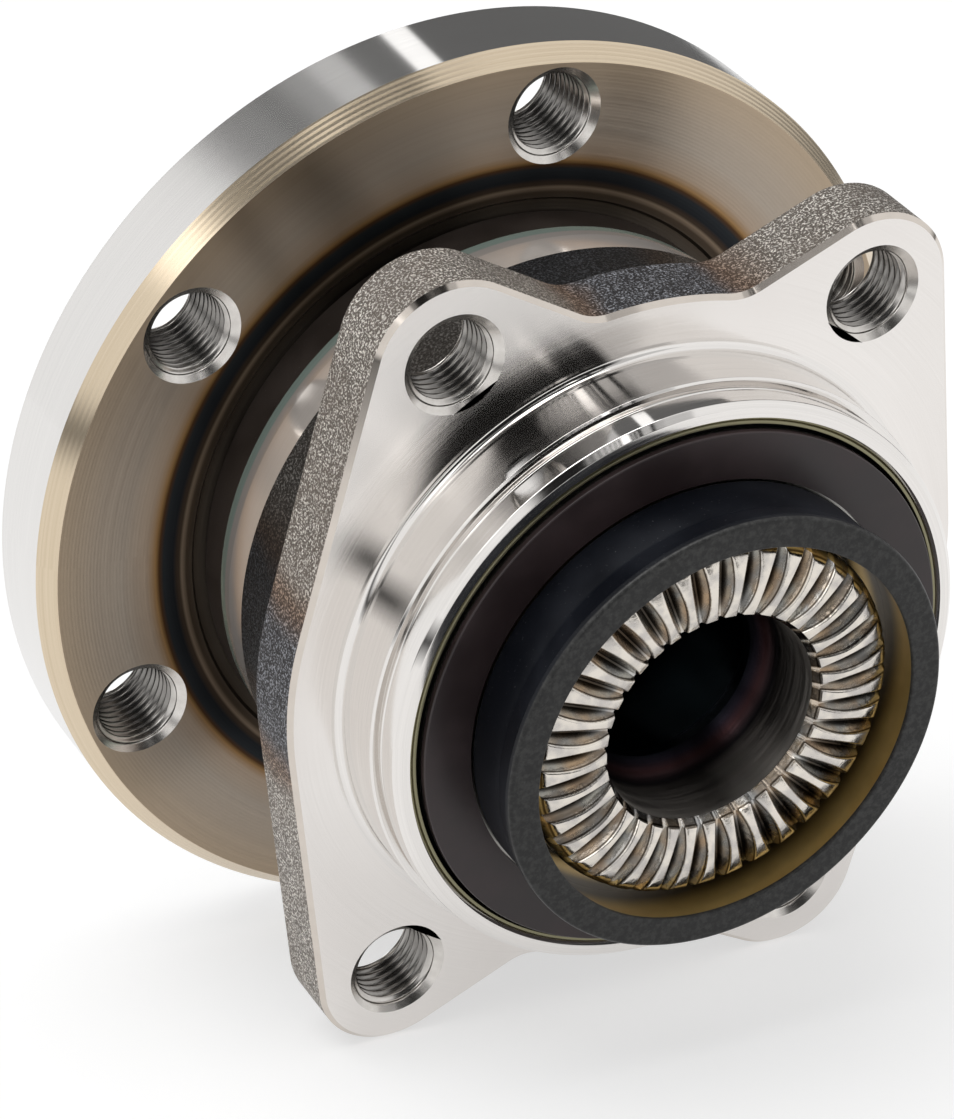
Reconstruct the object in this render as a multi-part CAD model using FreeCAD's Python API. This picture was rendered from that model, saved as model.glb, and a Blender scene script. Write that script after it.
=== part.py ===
"""Flanged wheel hub bearing with a face spline, in millimetres.

The spin axis is Y. The wheel is on the +Y side and the car's knuckle on the -Y side.
The origin is on the spin axis, in the machined face of the outer ring that meets the
knuckle. +Z is the upright symmetry line of the four ears. A profile is a list of
(radius, y) points that is turned about the spin axis.
"""
import FreeCAD, Part
import math
import os

from FreeCAD import Vector

SPIN_AXIS = Vector(0, 1, 0)

# Knuckle flange of the outer ring
EAR_PITCH_X = 70.0
EAR_PITCH_Z = 105.0
EAR_RADIUS = 13.0
EAR_THICKNESS = 12.0
EAR_FLANK_SLOPE = 26.7
VALLEY_ROUND = 8.0
WEB_RADIUS = 57.1
EAR_EDGE_ROUND = 1.2
EAR_FACE_CHAMFER = 0.75

# Threaded holes, modelled at the minor diameter of an M14 thread
THREAD_MINOR = 12.4
THREAD_CHAMFER_DIAMETER = 16.0
THREAD_RUNOUT = 3.0

# Inboard spigot that centres the bearing in the knuckle
PILOT_RADIUS = 48.7
PILOT_LENGTH = 9.7
PILOT_ROOT_ROUND = 1.3
RELIEF_RADIUS = 46.9
RELIEF_WIDTH = 1.3
LEAD_RADIUS = 47.6
SPIGOT_LENGTH = 15.4
SPIGOT_CHAMFER = 0.9

# Outboard barrel of the outer ring
CAST_BARREL_RADIUS = 51.2
BARREL_ROOT_ROUND = 4.0
GROUND_BARREL_START = 29.0
GROUND_BARREL_RADIUS = 50.0
BARREL_END_START = 36.0
BARREL_END_RADIUS = 49.6
BARREL_END = 40.2
BARREL_CHAMFER = 0.6

# Rolling bearing
BALL_DIAMETER = 12.7
BALL_PITCH_RADIUS = 38.1
BALLS_PER_ROW = 16
INBOARD_ROW_Y = -1.5
ROW_SPACING = 28.0
RACE_CLEARANCE = 0.15
OUTER_SHOULDER_RISE = 3.1
OUTER_SHOULDER_RADIUS = BALL_PITCH_RADIUS + OUTER_SHOULDER_RISE
OUTER_MIDDLE_STEP = 0.6
OUTER_MIDDLE_RADIUS = OUTER_SHOULDER_RADIUS - OUTER_MIDDLE_STEP
OUTER_MIDDLE_RELIEF = 4.0
SEAL_BORE_STEP = 0.2
SEAL_SEAT_DEPTH = 7.5
SEAL_BORE_CHAMFER = 0.5
INNER_HIGH_DROP = 2.7
INNER_HIGH_RADIUS = BALL_PITCH_RADIUS - INNER_HIGH_DROP
INNER_LOW_DROP = 5.1
INNER_LOW_RADIUS = BALL_PITCH_RADIUS - INNER_LOW_DROP

# Cages
CAGE_CLEARANCE = 0.6
CAGE_OPEN_SIDE = 4.0
CAGE_BACK_SIDE = 8.8
POCKET_CLEARANCE = 0.2

# Inner ring and the shaft of the hub
SHAFT_RADIUS = 25.0
INNER_RING_ABUTMENT = 12.5
INNER_RING_END = -19.0
RING_CORNER = 1.0
SEAL_LAND_RADIUS = 33.2
SEAL_LAND_START = -8.9

# Formed rivet head with the face spline
HEAD_RADIUS = 30.2
HEAD_EDGE_ROUND = 2.2
HEAD_EDGE_BULGE = 0.28
CROWN_Y = -26.4
CROWN_RADIUS = 23.5
CROWN_OUTER_DROP = 1.0
CROWN_INNER_DROP = 1.1
SPLINE_OUTER_RADIUS = 29.2
SPLINE_INNER_RADIUS = 18.3
TOOTH_COUNT = 37
TOOTH_PHASE = 11.7
GROOVE_DEPTH = 2.25
GROOVE_OVERRUN = 7.5
GROOVE_DEPTH_PER_RADIUS = 0.065
GROOVE_HALF_ANGLE = 30.0
GROOVE_ROOT_WIDTH = 0.35

# Bore of the hub
FUNNEL_RADIUS = 17.5
FUNNEL_START = -23.6
THROAT_RADIUS = 15.0
THROAT_Y = -9.7
THROAT_ROUND = 5.0
THROAT_LENGTH = 1.6
THROAT_TAPER = 1.6
CAVITY_RADIUS = 17.0
SEAT_INBOARD_Y = 16.0
SEAT_OUTBOARD_Y = 28.0
SCREW_BORE_RADIUS = 8.5
POCKET_RADIUS = 20.0
POCKET_MOUTH_RADIUS = 32.0
POCKET_MOUTH_Y = 52.0

# Wheel flange
WHEEL_BOLT_COUNT = 6
WHEEL_BOLT_CIRCLE = 130.0
WHEEL_BOLT_PHASE = 85.4
FLANGE_RIM_MARGIN = 11.1
FLANGE_RADIUS = WHEEL_BOLT_CIRCLE / 2 + FLANGE_RIM_MARGIN
FLANGE_FACE = 46.5
FLANGE_THICKNESS = 16.7
FLANGE_INNER_CHAMFER_WIDTH = 2.4
FLANGE_INNER_CHAMFER_HEIGHT = 2.8
FLANGE_OUTER_CHAMFER = 0.5
FLANGE_RECESS_RADIUS = 51.4
FLANGE_RECESS_DEPTH = 0.5
HUB_SEAL_LAND_RADIUS = 36.0
HUB_SEAL_FILLET = 7.0
HUB_SEAL_LEAD = 1.2
WHEEL_PILOT_RADIUS = 42.0
WHEEL_PILOT_HEIGHT = 12.0
WHEEL_PILOT_CHAMFER = 1.5
FACE_RELIEF_OUTER = 52.0
FACE_RELIEF_DEPTH = 0.6

# Seals
SEAL_SHEET = 0.8
SEAL_SINK = 0.3
LIP_GAP = 0.3
LIP_THICKNESS = 0.8
LIP_LEAN = 1.6
LIP_REACH = 2.4
LIP_ROOT_WIDTH = 3.2
INBOARD_CASE_DEPTH = 6.2
INBOARD_CASE_GAP = 2.6
OUTBOARD_CASE_DEPTH = 6.0
OUTBOARD_CASE_GAP = 2.4
FENDER_INSET = 0.4
FENDER_THICKNESS = 1.1
FENDER_ROOT_WIDTH = 2.2
FENDER_GAP = 0.6

# Encoder and sealing sleeve
ENCODER_PROUD = 1.0
ENCODER_THICKNESS = 1.0
ENCODER_BORE_GAP = 0.3
ENCODER_RIM_GAP = 0.6
SLINGER_SHEET = 0.6
SLINGER_LEG_SHEET = 0.8
SLINGER_LEG_END = -9.5
SLEEVE_SHEET = 0.8
SLEEVE_WALL = 1.5
SLEEVE_RIM_Y = -29.4
SLEEVE_RIM_COVER = 2.0
SLEEVE_RIM_INSET = 1.6
SLEEVE_RIM_OVERHANG = 0.9
SLEEVE_RIM_FLARE = 5.0
SLEEVE_RIM_ROUND = 0.7
SLEEVE_RIM_BAND = 1.4

BALL_RADIUS = BALL_DIAMETER / 2
RACE_RADIUS = BALL_RADIUS + RACE_CLEARANCE
SEAL_BORE_RADIUS = BALL_PITCH_RADIUS + RACE_RADIUS + SEAL_BORE_STEP
OUTBOARD_ROW_Y = INBOARD_ROW_Y + ROW_SPACING
ROW_MIDDLE_Y = INBOARD_ROW_Y + ROW_SPACING / 2
FLANGE_BACK = FLANGE_FACE + FLANGE_THICKNESS
CASE_INNER_RADIUS = SEAL_LAND_RADIUS + SLINGER_LEG_SHEET + INBOARD_CASE_GAP
OUTBOARD_CASE_INNER_RADIUS = HUB_SEAL_LAND_RADIUS + OUTBOARD_CASE_GAP
FENDER_RADIUS = BARREL_END_RADIUS - FENDER_INSET
SLEEVE_ROOT_RADIUS = SEAL_LAND_RADIUS + SLEEVE_SHEET + SLEEVE_WALL
SLEEVE_RIM_INNER_RADIUS = SEAL_LAND_RADIUS - SLEEVE_RIM_INSET
SLEEVE_RIM_OUTER_RADIUS = SLEEVE_ROOT_RADIUS + SLEEVE_RIM_OVERHANG
SLEEVE_SHEET_END = SLEEVE_RIM_Y + SLEEVE_RIM_COVER
ENCODER_FACE_Y = -SPIGOT_LENGTH - ENCODER_PROUD
ENCODER_INNER_RADIUS = SLEEVE_ROOT_RADIUS + ENCODER_BORE_GAP
ENCODER_OUTER_RADIUS = SEAL_BORE_RADIUS - SEAL_SHEET - ENCODER_RIM_GAP


def point(radius, y):
    """A point of a profile, in the half plane x >= 0, z = 0."""
    return Vector(radius, y, 0)


def arc(start, centre, end):
    """The shorter circular edge about centre from start to end."""
    from_centre = start - centre
    direction = (from_centre + end - centre).normalize()
    middle = centre + direction * from_centre.Length
    return Part.Arc(start, middle, end).toShape()


def turned(edges):
    """Turn a closed chain of edges about the spin axis into a solid."""
    face = Part.Face(Part.Wire(edges))
    return face.revolve(Vector(0, 0, 0), SPIN_AXIS, 360)


def lines(points):
    """Straight edges that join the (radius, y) points in order."""
    corners = [point(radius, y) for radius, y in points]
    return [Part.makeLine(a, b) for a, b in zip(corners, corners[1:])]


def turned_polygon(points):
    """Turn the closed polygon through the (radius, y) points."""
    return turned(lines(points + points[:1]))


def race_reach(land_radius):
    """Distance along the axis from a row's centre to where its race meets a land."""
    return math.sqrt(RACE_RADIUS ** 2 - (land_radius - BALL_PITCH_RADIUS) ** 2)


def race_arc(row_y, start, end):
    """Race groove around a row, from start to end."""
    return arc(point(*start), point(BALL_PITCH_RADIUS, row_y), point(*end))


def around_axis(shape, angle):
    """A copy of the shape turned about the spin axis, from +X towards +Z."""
    copy = shape.copy()
    copy.rotate(Vector(0, 0, 0), SPIN_AXIS, -angle)
    return copy


def threaded_hole(x, z, near_y, far_y, near_sink=True):
    """Cutter for one threaded hole along the axis, with a countersink at its mouths."""
    minor = THREAD_MINOR / 2
    mouth = THREAD_CHAMFER_DIAMETER / 2
    sink = mouth - minor
    length = far_y + THREAD_RUNOUT - near_y
    hole = Part.makeCylinder(minor, length, Vector(x, near_y, z), SPIN_AXIS)
    mouths = [Part.makeCone(minor, mouth, sink, Vector(x, far_y - sink, z), SPIN_AXIS)]
    if near_sink:
        mouths.append(Part.makeCone(mouth, minor, sink, Vector(x, near_y, z), SPIN_AXIS))
    return hole.fuse(mouths)


def ear_centres():
    """Centres of the four knuckle bolts, seen along the axis."""
    half_x = EAR_PITCH_X / 2
    half_z = EAR_PITCH_Z / 2
    return [(sx * half_x, sz * half_z) for sx in (1, -1) for sz in (1, -1)]


def polar(radius, angle):
    """Point in the plane of the ears, at an angle in degrees from +X towards +Z."""
    turn = math.radians(angle)
    return Vector(radius * math.cos(turn), 0, radius * math.sin(turn))


def ear_neck():
    """Flat shape that joins the ear in the +X, +Z corner to the round web.

    The upright flank is the outer tangent of the ear and the web. The level flank
    falls from the ear to the web, and they meet in a valley above the web.
    """
    centre = Vector(EAR_PITCH_X / 2, 0, EAR_PITCH_Z / 2)
    reach = centre.Length
    ear_angle = math.degrees(math.atan2(centre.z, centre.x))
    spread = math.degrees(math.acos((WEB_RADIUS - EAR_RADIUS) / reach))
    upright_normal = ear_angle - spread
    level_normal = 90 + EAR_FLANK_SLOPE
    level_distance = centre.dot(polar(1, level_normal)) + EAR_RADIUS
    valley = level_normal - math.degrees(math.acos(level_distance / WEB_RADIUS))
    corners = [
        Vector(0, 0, 0),
        polar(WEB_RADIUS, upright_normal),
        centre + polar(EAR_RADIUS, upright_normal),
        centre,
        centre + polar(EAR_RADIUS, level_normal),
        polar(WEB_RADIUS, valley),
        Vector(0, 0, 0),
    ]
    return Part.Face(Part.makePolygon(corners)).extrude(SPIN_AXIS * EAR_THICKNESS)


def knuckle_plate():
    """Plate with four ears: forged round at the rear edge, chamfered at the front."""
    plate = Part.makeCylinder(WEB_RADIUS, EAR_THICKNESS, Vector(0, 0, 0), SPIN_AXIS)
    neck = ear_neck()
    across = neck.mirror(Vector(0, 0, 0), Vector(1, 0, 0))
    necks = [neck, across]
    necks += [n.mirror(Vector(0, 0, 0), Vector(0, 0, 1)) for n in (neck, across)]
    ears = []
    for x, z in ear_centres():
        ears.append(Part.makeCylinder(EAR_RADIUS, EAR_THICKNESS, Vector(x, 0, z), SPIN_AXIS))
    plate = plate.fuse(necks + ears).removeSplitter()
    valleys = [e for e in plate.Edges if is_along_axis(e) and is_valley(e)]
    plate = plate.makeFillet(VALLEY_ROUND, valleys)
    rear = [e for e in plate.Edges if is_at_height(e, EAR_THICKNESS)]
    plate = plate.makeFillet(EAR_EDGE_ROUND, rear)
    front = [e for e in plate.Edges if is_at_height(e, 0)]
    return plate.makeChamfer(EAR_FACE_CHAMFER, front)


def is_along_axis(edge):
    """True for a straight edge that is parallel to the spin axis."""
    ends = edge.Vertexes
    if len(ends) != 2:
        return False
    run = ends[1].Point - ends[0].Point
    return abs(run.x) < 1e-6 and abs(run.z) < 1e-6


def is_valley(edge):
    """True where an ear's level flank meets the round web."""
    spot = edge.Vertexes[0].Point
    on_web = abs(math.hypot(spot.x, spot.z) - WEB_RADIUS) < 1e-3
    return on_web and abs(spot.x) < EAR_PITCH_X / 2


def is_at_height(edge, y):
    """True for an edge that lies in the plane at y."""
    return all(abs(v.Point.y - y) < 1e-6 for v in edge.Vertexes)


def barrel():
    """Outside of the outer ring on the wheel side, from the plate to its end."""
    root_y = EAR_THICKNESS
    root_radius = CAST_BARREL_RADIUS + BARREL_ROOT_ROUND
    blend_y = root_y + BARREL_ROOT_ROUND
    blend = arc(
        point(root_radius, root_y),
        point(root_radius, blend_y),
        point(CAST_BARREL_RADIUS, blend_y),
    )
    skin = lines([
        (CAST_BARREL_RADIUS, blend_y),
        (CAST_BARREL_RADIUS, GROUND_BARREL_START),
        (GROUND_BARREL_RADIUS, GROUND_BARREL_START),
        (GROUND_BARREL_RADIUS, BARREL_END_START),
        (BARREL_END_RADIUS, BARREL_END_START),
        (BARREL_END_RADIUS, BARREL_END - BARREL_CHAMFER),
        (BARREL_END_RADIUS - BARREL_CHAMFER, BARREL_END),
        (0, BARREL_END),
        (0, EAR_THICKNESS / 2),
        (root_radius, EAR_THICKNESS / 2),
        (root_radius, root_y),
    ])
    return turned([blend] + skin)


def spigot():
    """Centring spigot on the knuckle side, with its root blend and lead land."""
    root_radius = PILOT_RADIUS + PILOT_ROOT_ROUND
    blend = arc(
        point(root_radius, 0),
        point(root_radius, -PILOT_ROOT_ROUND),
        point(PILOT_RADIUS, -PILOT_ROOT_ROUND),
    )
    lead_y = -PILOT_LENGTH - RELIEF_WIDTH
    skin = lines([
        (PILOT_RADIUS, -PILOT_ROOT_ROUND),
        (PILOT_RADIUS, -PILOT_LENGTH),
        (RELIEF_RADIUS, -PILOT_LENGTH),
        (RELIEF_RADIUS, lead_y),
        (LEAD_RADIUS, lead_y),
        (LEAD_RADIUS, -SPIGOT_LENGTH + SPIGOT_CHAMFER),
        (LEAD_RADIUS - SPIGOT_CHAMFER, -SPIGOT_LENGTH),
        (0, -SPIGOT_LENGTH),
        (0, EAR_THICKNESS / 2),
        (root_radius, EAR_THICKNESS / 2),
        (root_radius, 0),
    ])
    return turned([blend] + skin)


def outer_ring_bore():
    """Cutter for the inside of the outer ring, with both race grooves."""
    chamfer = SEAL_BORE_CHAMFER
    shoulder_reach = race_reach(OUTER_SHOULDER_RADIUS)
    groove_radius = BALL_PITCH_RADIUS + RACE_RADIUS
    inboard_bottom = (groove_radius, INBOARD_ROW_Y)
    inboard_shoulder = (OUTER_SHOULDER_RADIUS, INBOARD_ROW_Y + shoulder_reach)
    outboard_shoulder = (OUTER_SHOULDER_RADIUS, OUTBOARD_ROW_Y - shoulder_reach)
    outboard_bottom = (groove_radius, OUTBOARD_ROW_Y)
    edges = lines([
        (0, -SPIGOT_LENGTH),
        (SEAL_BORE_RADIUS + chamfer, -SPIGOT_LENGTH),
        (SEAL_BORE_RADIUS, -SPIGOT_LENGTH + chamfer),
        (SEAL_BORE_RADIUS, -SPIGOT_LENGTH + SEAL_SEAT_DEPTH),
        (groove_radius, -SPIGOT_LENGTH + SEAL_SEAT_DEPTH),
        inboard_bottom,
    ])
    edges.append(race_arc(INBOARD_ROW_Y, inboard_bottom, inboard_shoulder))
    edges += lines([
        inboard_shoulder,
        (OUTER_SHOULDER_RADIUS, ROW_MIDDLE_Y - OUTER_MIDDLE_RELIEF),
        (OUTER_MIDDLE_RADIUS, ROW_MIDDLE_Y),
        (OUTER_SHOULDER_RADIUS, ROW_MIDDLE_Y + OUTER_MIDDLE_RELIEF),
        outboard_shoulder,
    ])
    edges.append(race_arc(OUTBOARD_ROW_Y, outboard_shoulder, outboard_bottom))
    edges += lines([
        outboard_bottom,
        (groove_radius, BARREL_END - SEAL_SEAT_DEPTH),
        (SEAL_BORE_RADIUS, BARREL_END - SEAL_SEAT_DEPTH),
        (SEAL_BORE_RADIUS, BARREL_END - chamfer),
        (SEAL_BORE_RADIUS + chamfer, BARREL_END),
        (0, BARREL_END),
        (0, -SPIGOT_LENGTH),
    ])
    return turned(edges)


def outer_ring():
    """Flanged outer ring: plate with ears, spigot, barrel, races and bolt threads.

    The ear holes reach the knuckle face at their full depth, without a countersink.
    """
    ring = knuckle_plate().fuse([barrel(), spigot()])
    ring = ring.cut(outer_ring_bore())
    holes = [threaded_hole(x, z, 0, EAR_THICKNESS, False) for x, z in ear_centres()]
    return ring.cut(holes).removeSplitter()


def head_outline():
    """Edges of the rivet head, from the inner ring's side face to the funnel."""
    outer_y = CROWN_Y + CROWN_OUTER_DROP
    inner_y = CROWN_Y + CROWN_INNER_DROP
    side_y = outer_y + HEAD_EDGE_ROUND
    edge_start = point(HEAD_RADIUS, side_y)
    edge_end = point(SPLINE_OUTER_RADIUS, outer_y)
    edge_middle = point(
        (HEAD_RADIUS + SPLINE_OUTER_RADIUS) / 2 + HEAD_EDGE_BULGE,
        (side_y + outer_y) / 2 - HEAD_EDGE_BULGE,
    )
    crown_top = point(CROWN_RADIUS, CROWN_Y)
    crown_end = point(SPLINE_INNER_RADIUS, inner_y)
    return [
        Part.makeLine(point(HEAD_RADIUS, INNER_RING_END), edge_start),
        Part.Arc(edge_start, edge_middle, edge_end).toShape(),
        Part.Arc(edge_end, crown_top, crown_end).toShape(),
        Part.makeLine(crown_end, point(FUNNEL_RADIUS, FUNNEL_START)),
    ]


def bore_outline():
    """Edges of the hub's bore, from the funnel to the wheel side."""
    drop = FUNNEL_RADIUS - THROAT_RADIUS
    across = THROAT_ROUND - drop
    reach = math.sqrt(THROAT_ROUND ** 2 - across ** 2)
    fillet_start = point(FUNNEL_RADIUS, THROAT_Y - reach)
    centre = point(FUNNEL_RADIUS - THROAT_ROUND, THROAT_Y - reach)
    fillet_end = point(THROAT_RADIUS, THROAT_Y)
    blend = arc(fillet_start, centre, fillet_end)
    collar_top = WHEEL_PILOT_RADIUS - WHEEL_PILOT_CHAMFER
    collar_y = FLANGE_BACK + WHEEL_PILOT_HEIGHT
    straight = lines([
        (THROAT_RADIUS, THROAT_Y),
        (THROAT_RADIUS, THROAT_Y + THROAT_LENGTH),
        (CAVITY_RADIUS, THROAT_Y + THROAT_LENGTH + THROAT_TAPER),
        (CAVITY_RADIUS, SEAT_INBOARD_Y),
        (SCREW_BORE_RADIUS, SEAT_INBOARD_Y),
        (SCREW_BORE_RADIUS, SEAT_OUTBOARD_Y),
        (POCKET_RADIUS, SEAT_OUTBOARD_Y),
        (POCKET_MOUTH_RADIUS, POCKET_MOUTH_Y),
        (POCKET_MOUTH_RADIUS, collar_y),
        (collar_top, collar_y),
    ])
    wall = Part.makeLine(point(FUNNEL_RADIUS, FUNNEL_START), fillet_start)
    return [wall, blend] + straight


def flange_outline():
    """Edges of the wheel flange, from the wheel pilot to the seal land."""
    collar_y = FLANGE_BACK + WHEEL_PILOT_HEIGHT
    relief_y = FLANGE_BACK - FACE_RELIEF_DEPTH
    recess_y = FLANGE_FACE + FLANGE_RECESS_DEPTH
    chamfer_radius = FLANGE_RADIUS - FLANGE_INNER_CHAMFER_WIDTH
    fillet_radius = HUB_SEAL_LAND_RADIUS + HUB_SEAL_FILLET
    fillet_y = recess_y - HUB_SEAL_FILLET
    outside = lines([
        (WHEEL_PILOT_RADIUS - WHEEL_PILOT_CHAMFER, collar_y),
        (WHEEL_PILOT_RADIUS, collar_y - WHEEL_PILOT_CHAMFER),
        (WHEEL_PILOT_RADIUS, relief_y),
        (FACE_RELIEF_OUTER, relief_y),
        (FACE_RELIEF_OUTER + FACE_RELIEF_DEPTH, FLANGE_BACK),
        (FLANGE_RADIUS - FLANGE_OUTER_CHAMFER, FLANGE_BACK),
        (FLANGE_RADIUS, FLANGE_BACK - FLANGE_OUTER_CHAMFER),
        (FLANGE_RADIUS, FLANGE_FACE + FLANGE_INNER_CHAMFER_HEIGHT),
        (chamfer_radius, FLANGE_FACE),
        (FLANGE_RECESS_RADIUS, FLANGE_FACE),
        (FLANGE_RECESS_RADIUS - FLANGE_RECESS_DEPTH, recess_y),
        (fillet_radius, recess_y),
    ])
    blend = arc(
        point(fillet_radius, recess_y),
        point(fillet_radius, fillet_y),
        point(HUB_SEAL_LAND_RADIUS, fillet_y),
    )
    return outside + [blend]


def shaft_outline():
    """Edges of the shaft, from the seal land over the race to the rivet head."""
    fillet_y = FLANGE_FACE + FLANGE_RECESS_DEPTH - HUB_SEAL_FILLET
    high = (INNER_HIGH_RADIUS, OUTBOARD_ROW_Y + race_reach(INNER_HIGH_RADIUS))
    low = (INNER_LOW_RADIUS, OUTBOARD_ROW_Y - race_reach(INNER_LOW_RADIUS))
    step = HUB_SEAL_LAND_RADIUS - INNER_HIGH_RADIUS
    before = lines([
        (HUB_SEAL_LAND_RADIUS, fillet_y),
        (HUB_SEAL_LAND_RADIUS, high[1] + HUB_SEAL_LEAD),
        (INNER_HIGH_RADIUS, high[1] + step),
        high,
    ])
    after = lines([
        low,
        (INNER_LOW_RADIUS, INNER_RING_ABUTMENT + RING_CORNER),
        (INNER_LOW_RADIUS - RING_CORNER, INNER_RING_ABUTMENT),
        (SHAFT_RADIUS, INNER_RING_ABUTMENT),
        (SHAFT_RADIUS, INNER_RING_END + RING_CORNER),
        (SHAFT_RADIUS + RING_CORNER, INNER_RING_END),
        (HEAD_RADIUS, INNER_RING_END),
    ])
    return before + [race_arc(OUTBOARD_ROW_Y, high, low)] + after


def groove_depth(radius):
    """Depth of a spline groove below the crown at a radius."""
    return GROOVE_DEPTH + GROOVE_DEPTH_PER_RADIUS * (radius - CROWN_RADIUS)


def groove_section(radius):
    """Section of one spline groove across a radius, open above the crown."""
    root_y = CROWN_Y + groove_depth(radius)
    top_y = CROWN_Y - GROOVE_DEPTH
    half_root = GROOVE_ROOT_WIDTH / 2
    half_top = half_root + (root_y - top_y) * math.tan(math.radians(GROOVE_HALF_ANGLE))
    corners = [
        Vector(radius, top_y, -half_top),
        Vector(radius, root_y, -half_root),
        Vector(radius, root_y, half_root),
        Vector(radius, top_y, half_top),
        Vector(radius, top_y, -half_top),
    ]
    return Part.makePolygon(corners)


def spline_grooves():
    """Cutters for the grooves between the radial teeth of the face spline."""
    start = groove_section(SPLINE_INNER_RADIUS - GROOVE_OVERRUN)
    end = groove_section(HEAD_RADIUS + GROOVE_DEPTH)
    cutter = Part.makeLoft([start, end], True, True)
    pitch = 360 / TOOTH_COUNT
    first = TOOTH_PHASE + pitch / 2
    return [around_axis(cutter, first + pitch * i) for i in range(TOOTH_COUNT)]


def wheel_hub():
    """Hub in one forging: wheel flange, outboard race, shaft and splined rivet head."""
    edges = head_outline() + bore_outline() + flange_outline() + shaft_outline()
    hub = turned(edges)
    bolt_radius = WHEEL_BOLT_CIRCLE / 2
    holes = []
    for i in range(WHEEL_BOLT_COUNT):
        angle = math.radians(WHEEL_BOLT_PHASE + 360 / WHEEL_BOLT_COUNT * i)
        x = bolt_radius * math.cos(angle)
        z = bolt_radius * math.sin(angle)
        holes.append(threaded_hole(x, z, FLANGE_FACE, FLANGE_BACK))
    return hub.cut(holes).cut(spline_grooves())


def inner_ring():
    """Inboard inner ring, held against the hub's shoulder by the rivet head."""
    low = (INNER_LOW_RADIUS, INBOARD_ROW_Y + race_reach(INNER_LOW_RADIUS))
    high = (INNER_HIGH_RADIUS, INBOARD_ROW_Y - race_reach(INNER_HIGH_RADIUS))
    edges = lines([
        (SHAFT_RADIUS, INNER_RING_ABUTMENT),
        (INNER_LOW_RADIUS - RING_CORNER, INNER_RING_ABUTMENT),
        (INNER_LOW_RADIUS, INNER_RING_ABUTMENT - RING_CORNER),
        low,
    ])
    edges.append(race_arc(INBOARD_ROW_Y, low, high))
    edges += lines([
        high,
        (INNER_HIGH_RADIUS, SEAL_LAND_START),
        (SEAL_LAND_RADIUS, SEAL_LAND_START),
        (SEAL_LAND_RADIUS, INNER_RING_END),
        (SHAFT_RADIUS + RING_CORNER, INNER_RING_END),
        (SHAFT_RADIUS, INNER_RING_END + RING_CORNER),
        (SHAFT_RADIUS, INNER_RING_ABUTMENT),
    ])
    return turned(edges)


def ball_angle(index):
    """Angle of a ball and of its cage pocket around the axis."""
    return 360 / BALLS_PER_ROW * index


def ball(row_y, index):
    """One ball of a row."""
    sphere = Part.makeSphere(BALL_RADIUS, point(BALL_PITCH_RADIUS, row_y))
    return around_axis(sphere, ball_angle(index))


def cage(row_y, back_is_outboard):
    """Snap cage: its back is on the middle side and its pockets open to the seal."""
    inner = INNER_HIGH_RADIUS + CAGE_CLEARANCE
    outer = OUTER_MIDDLE_RADIUS - CAGE_CLEARANCE
    back = CAGE_BACK_SIDE
    front = -CAGE_OPEN_SIDE
    body = turned_polygon([(inner, front), (outer, front), (outer, back), (inner, back)])
    pocket = Part.makeSphere(BALL_RADIUS + POCKET_CLEARANCE, point(BALL_PITCH_RADIUS, 0))
    body = body.cut([around_axis(pocket, ball_angle(i)) for i in range(BALLS_PER_ROW)])
    if not back_is_outboard:
        body = body.mirror(Vector(0, 0, 0), SPIN_AXIS)
    body.translate(SPIN_AXIS * row_y)
    return body


def inboard_seal_case():
    """Pressed steel case of the inboard seal, in the mouth of the outer ring."""
    mouth_y = -SPIGOT_LENGTH + SEAL_SINK
    floor_y = mouth_y + INBOARD_CASE_DEPTH
    return turned_polygon([
        (SEAL_BORE_RADIUS - SEAL_SHEET, mouth_y),
        (SEAL_BORE_RADIUS - SEAL_SHEET / 2, mouth_y),
        (SEAL_BORE_RADIUS, mouth_y + SEAL_SHEET / 2),
        (SEAL_BORE_RADIUS, floor_y),
        (CASE_INNER_RADIUS, floor_y),
        (CASE_INNER_RADIUS, floor_y - SEAL_SHEET),
        (SEAL_BORE_RADIUS - SEAL_SHEET, floor_y - SEAL_SHEET),
    ])


def inboard_seal_lips():
    """Rubber of the inboard seal: one lip to the slinger's flange, one to its leg."""
    floor_y = -SPIGOT_LENGTH + SEAL_SINK + INBOARD_CASE_DEPTH - SEAL_SHEET
    flange_y = ENCODER_FACE_Y + ENCODER_THICKNESS + SLINGER_SHEET + LIP_GAP
    leg_radius = SEAL_LAND_RADIUS + SLINGER_LEG_SHEET + LIP_GAP
    outer = SEAL_BORE_RADIUS - SEAL_SHEET
    base_y = floor_y - LIP_THICKNESS
    axial = outer - LIP_LEAN
    return turned_polygon([
        (outer, floor_y),
        (outer, base_y),
        (axial, flange_y),
        (axial - LIP_THICKNESS, flange_y),
        (outer - LIP_ROOT_WIDTH, base_y),
        (CASE_INNER_RADIUS + LIP_THICKNESS, base_y),
        (leg_radius + LIP_THICKNESS, base_y - LIP_LEAN),
        (leg_radius, base_y - LIP_THICKNESS),
        (CASE_INNER_RADIUS, floor_y),
    ])


def slinger():
    """Steel carrier of the encoder, pressed on the inner ring's land."""
    flange_y = ENCODER_FACE_Y + ENCODER_THICKNESS
    leg_radius = SEAL_LAND_RADIUS + SLINGER_LEG_SHEET
    return turned_polygon([
        (SEAL_LAND_RADIUS, SLINGER_LEG_END),
        (leg_radius, SLINGER_LEG_END),
        (leg_radius, flange_y + SLINGER_SHEET),
        (ENCODER_OUTER_RADIUS, flange_y + SLINGER_SHEET),
        (ENCODER_OUTER_RADIUS, flange_y),
        (SEAL_LAND_RADIUS, flange_y),
    ])


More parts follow.
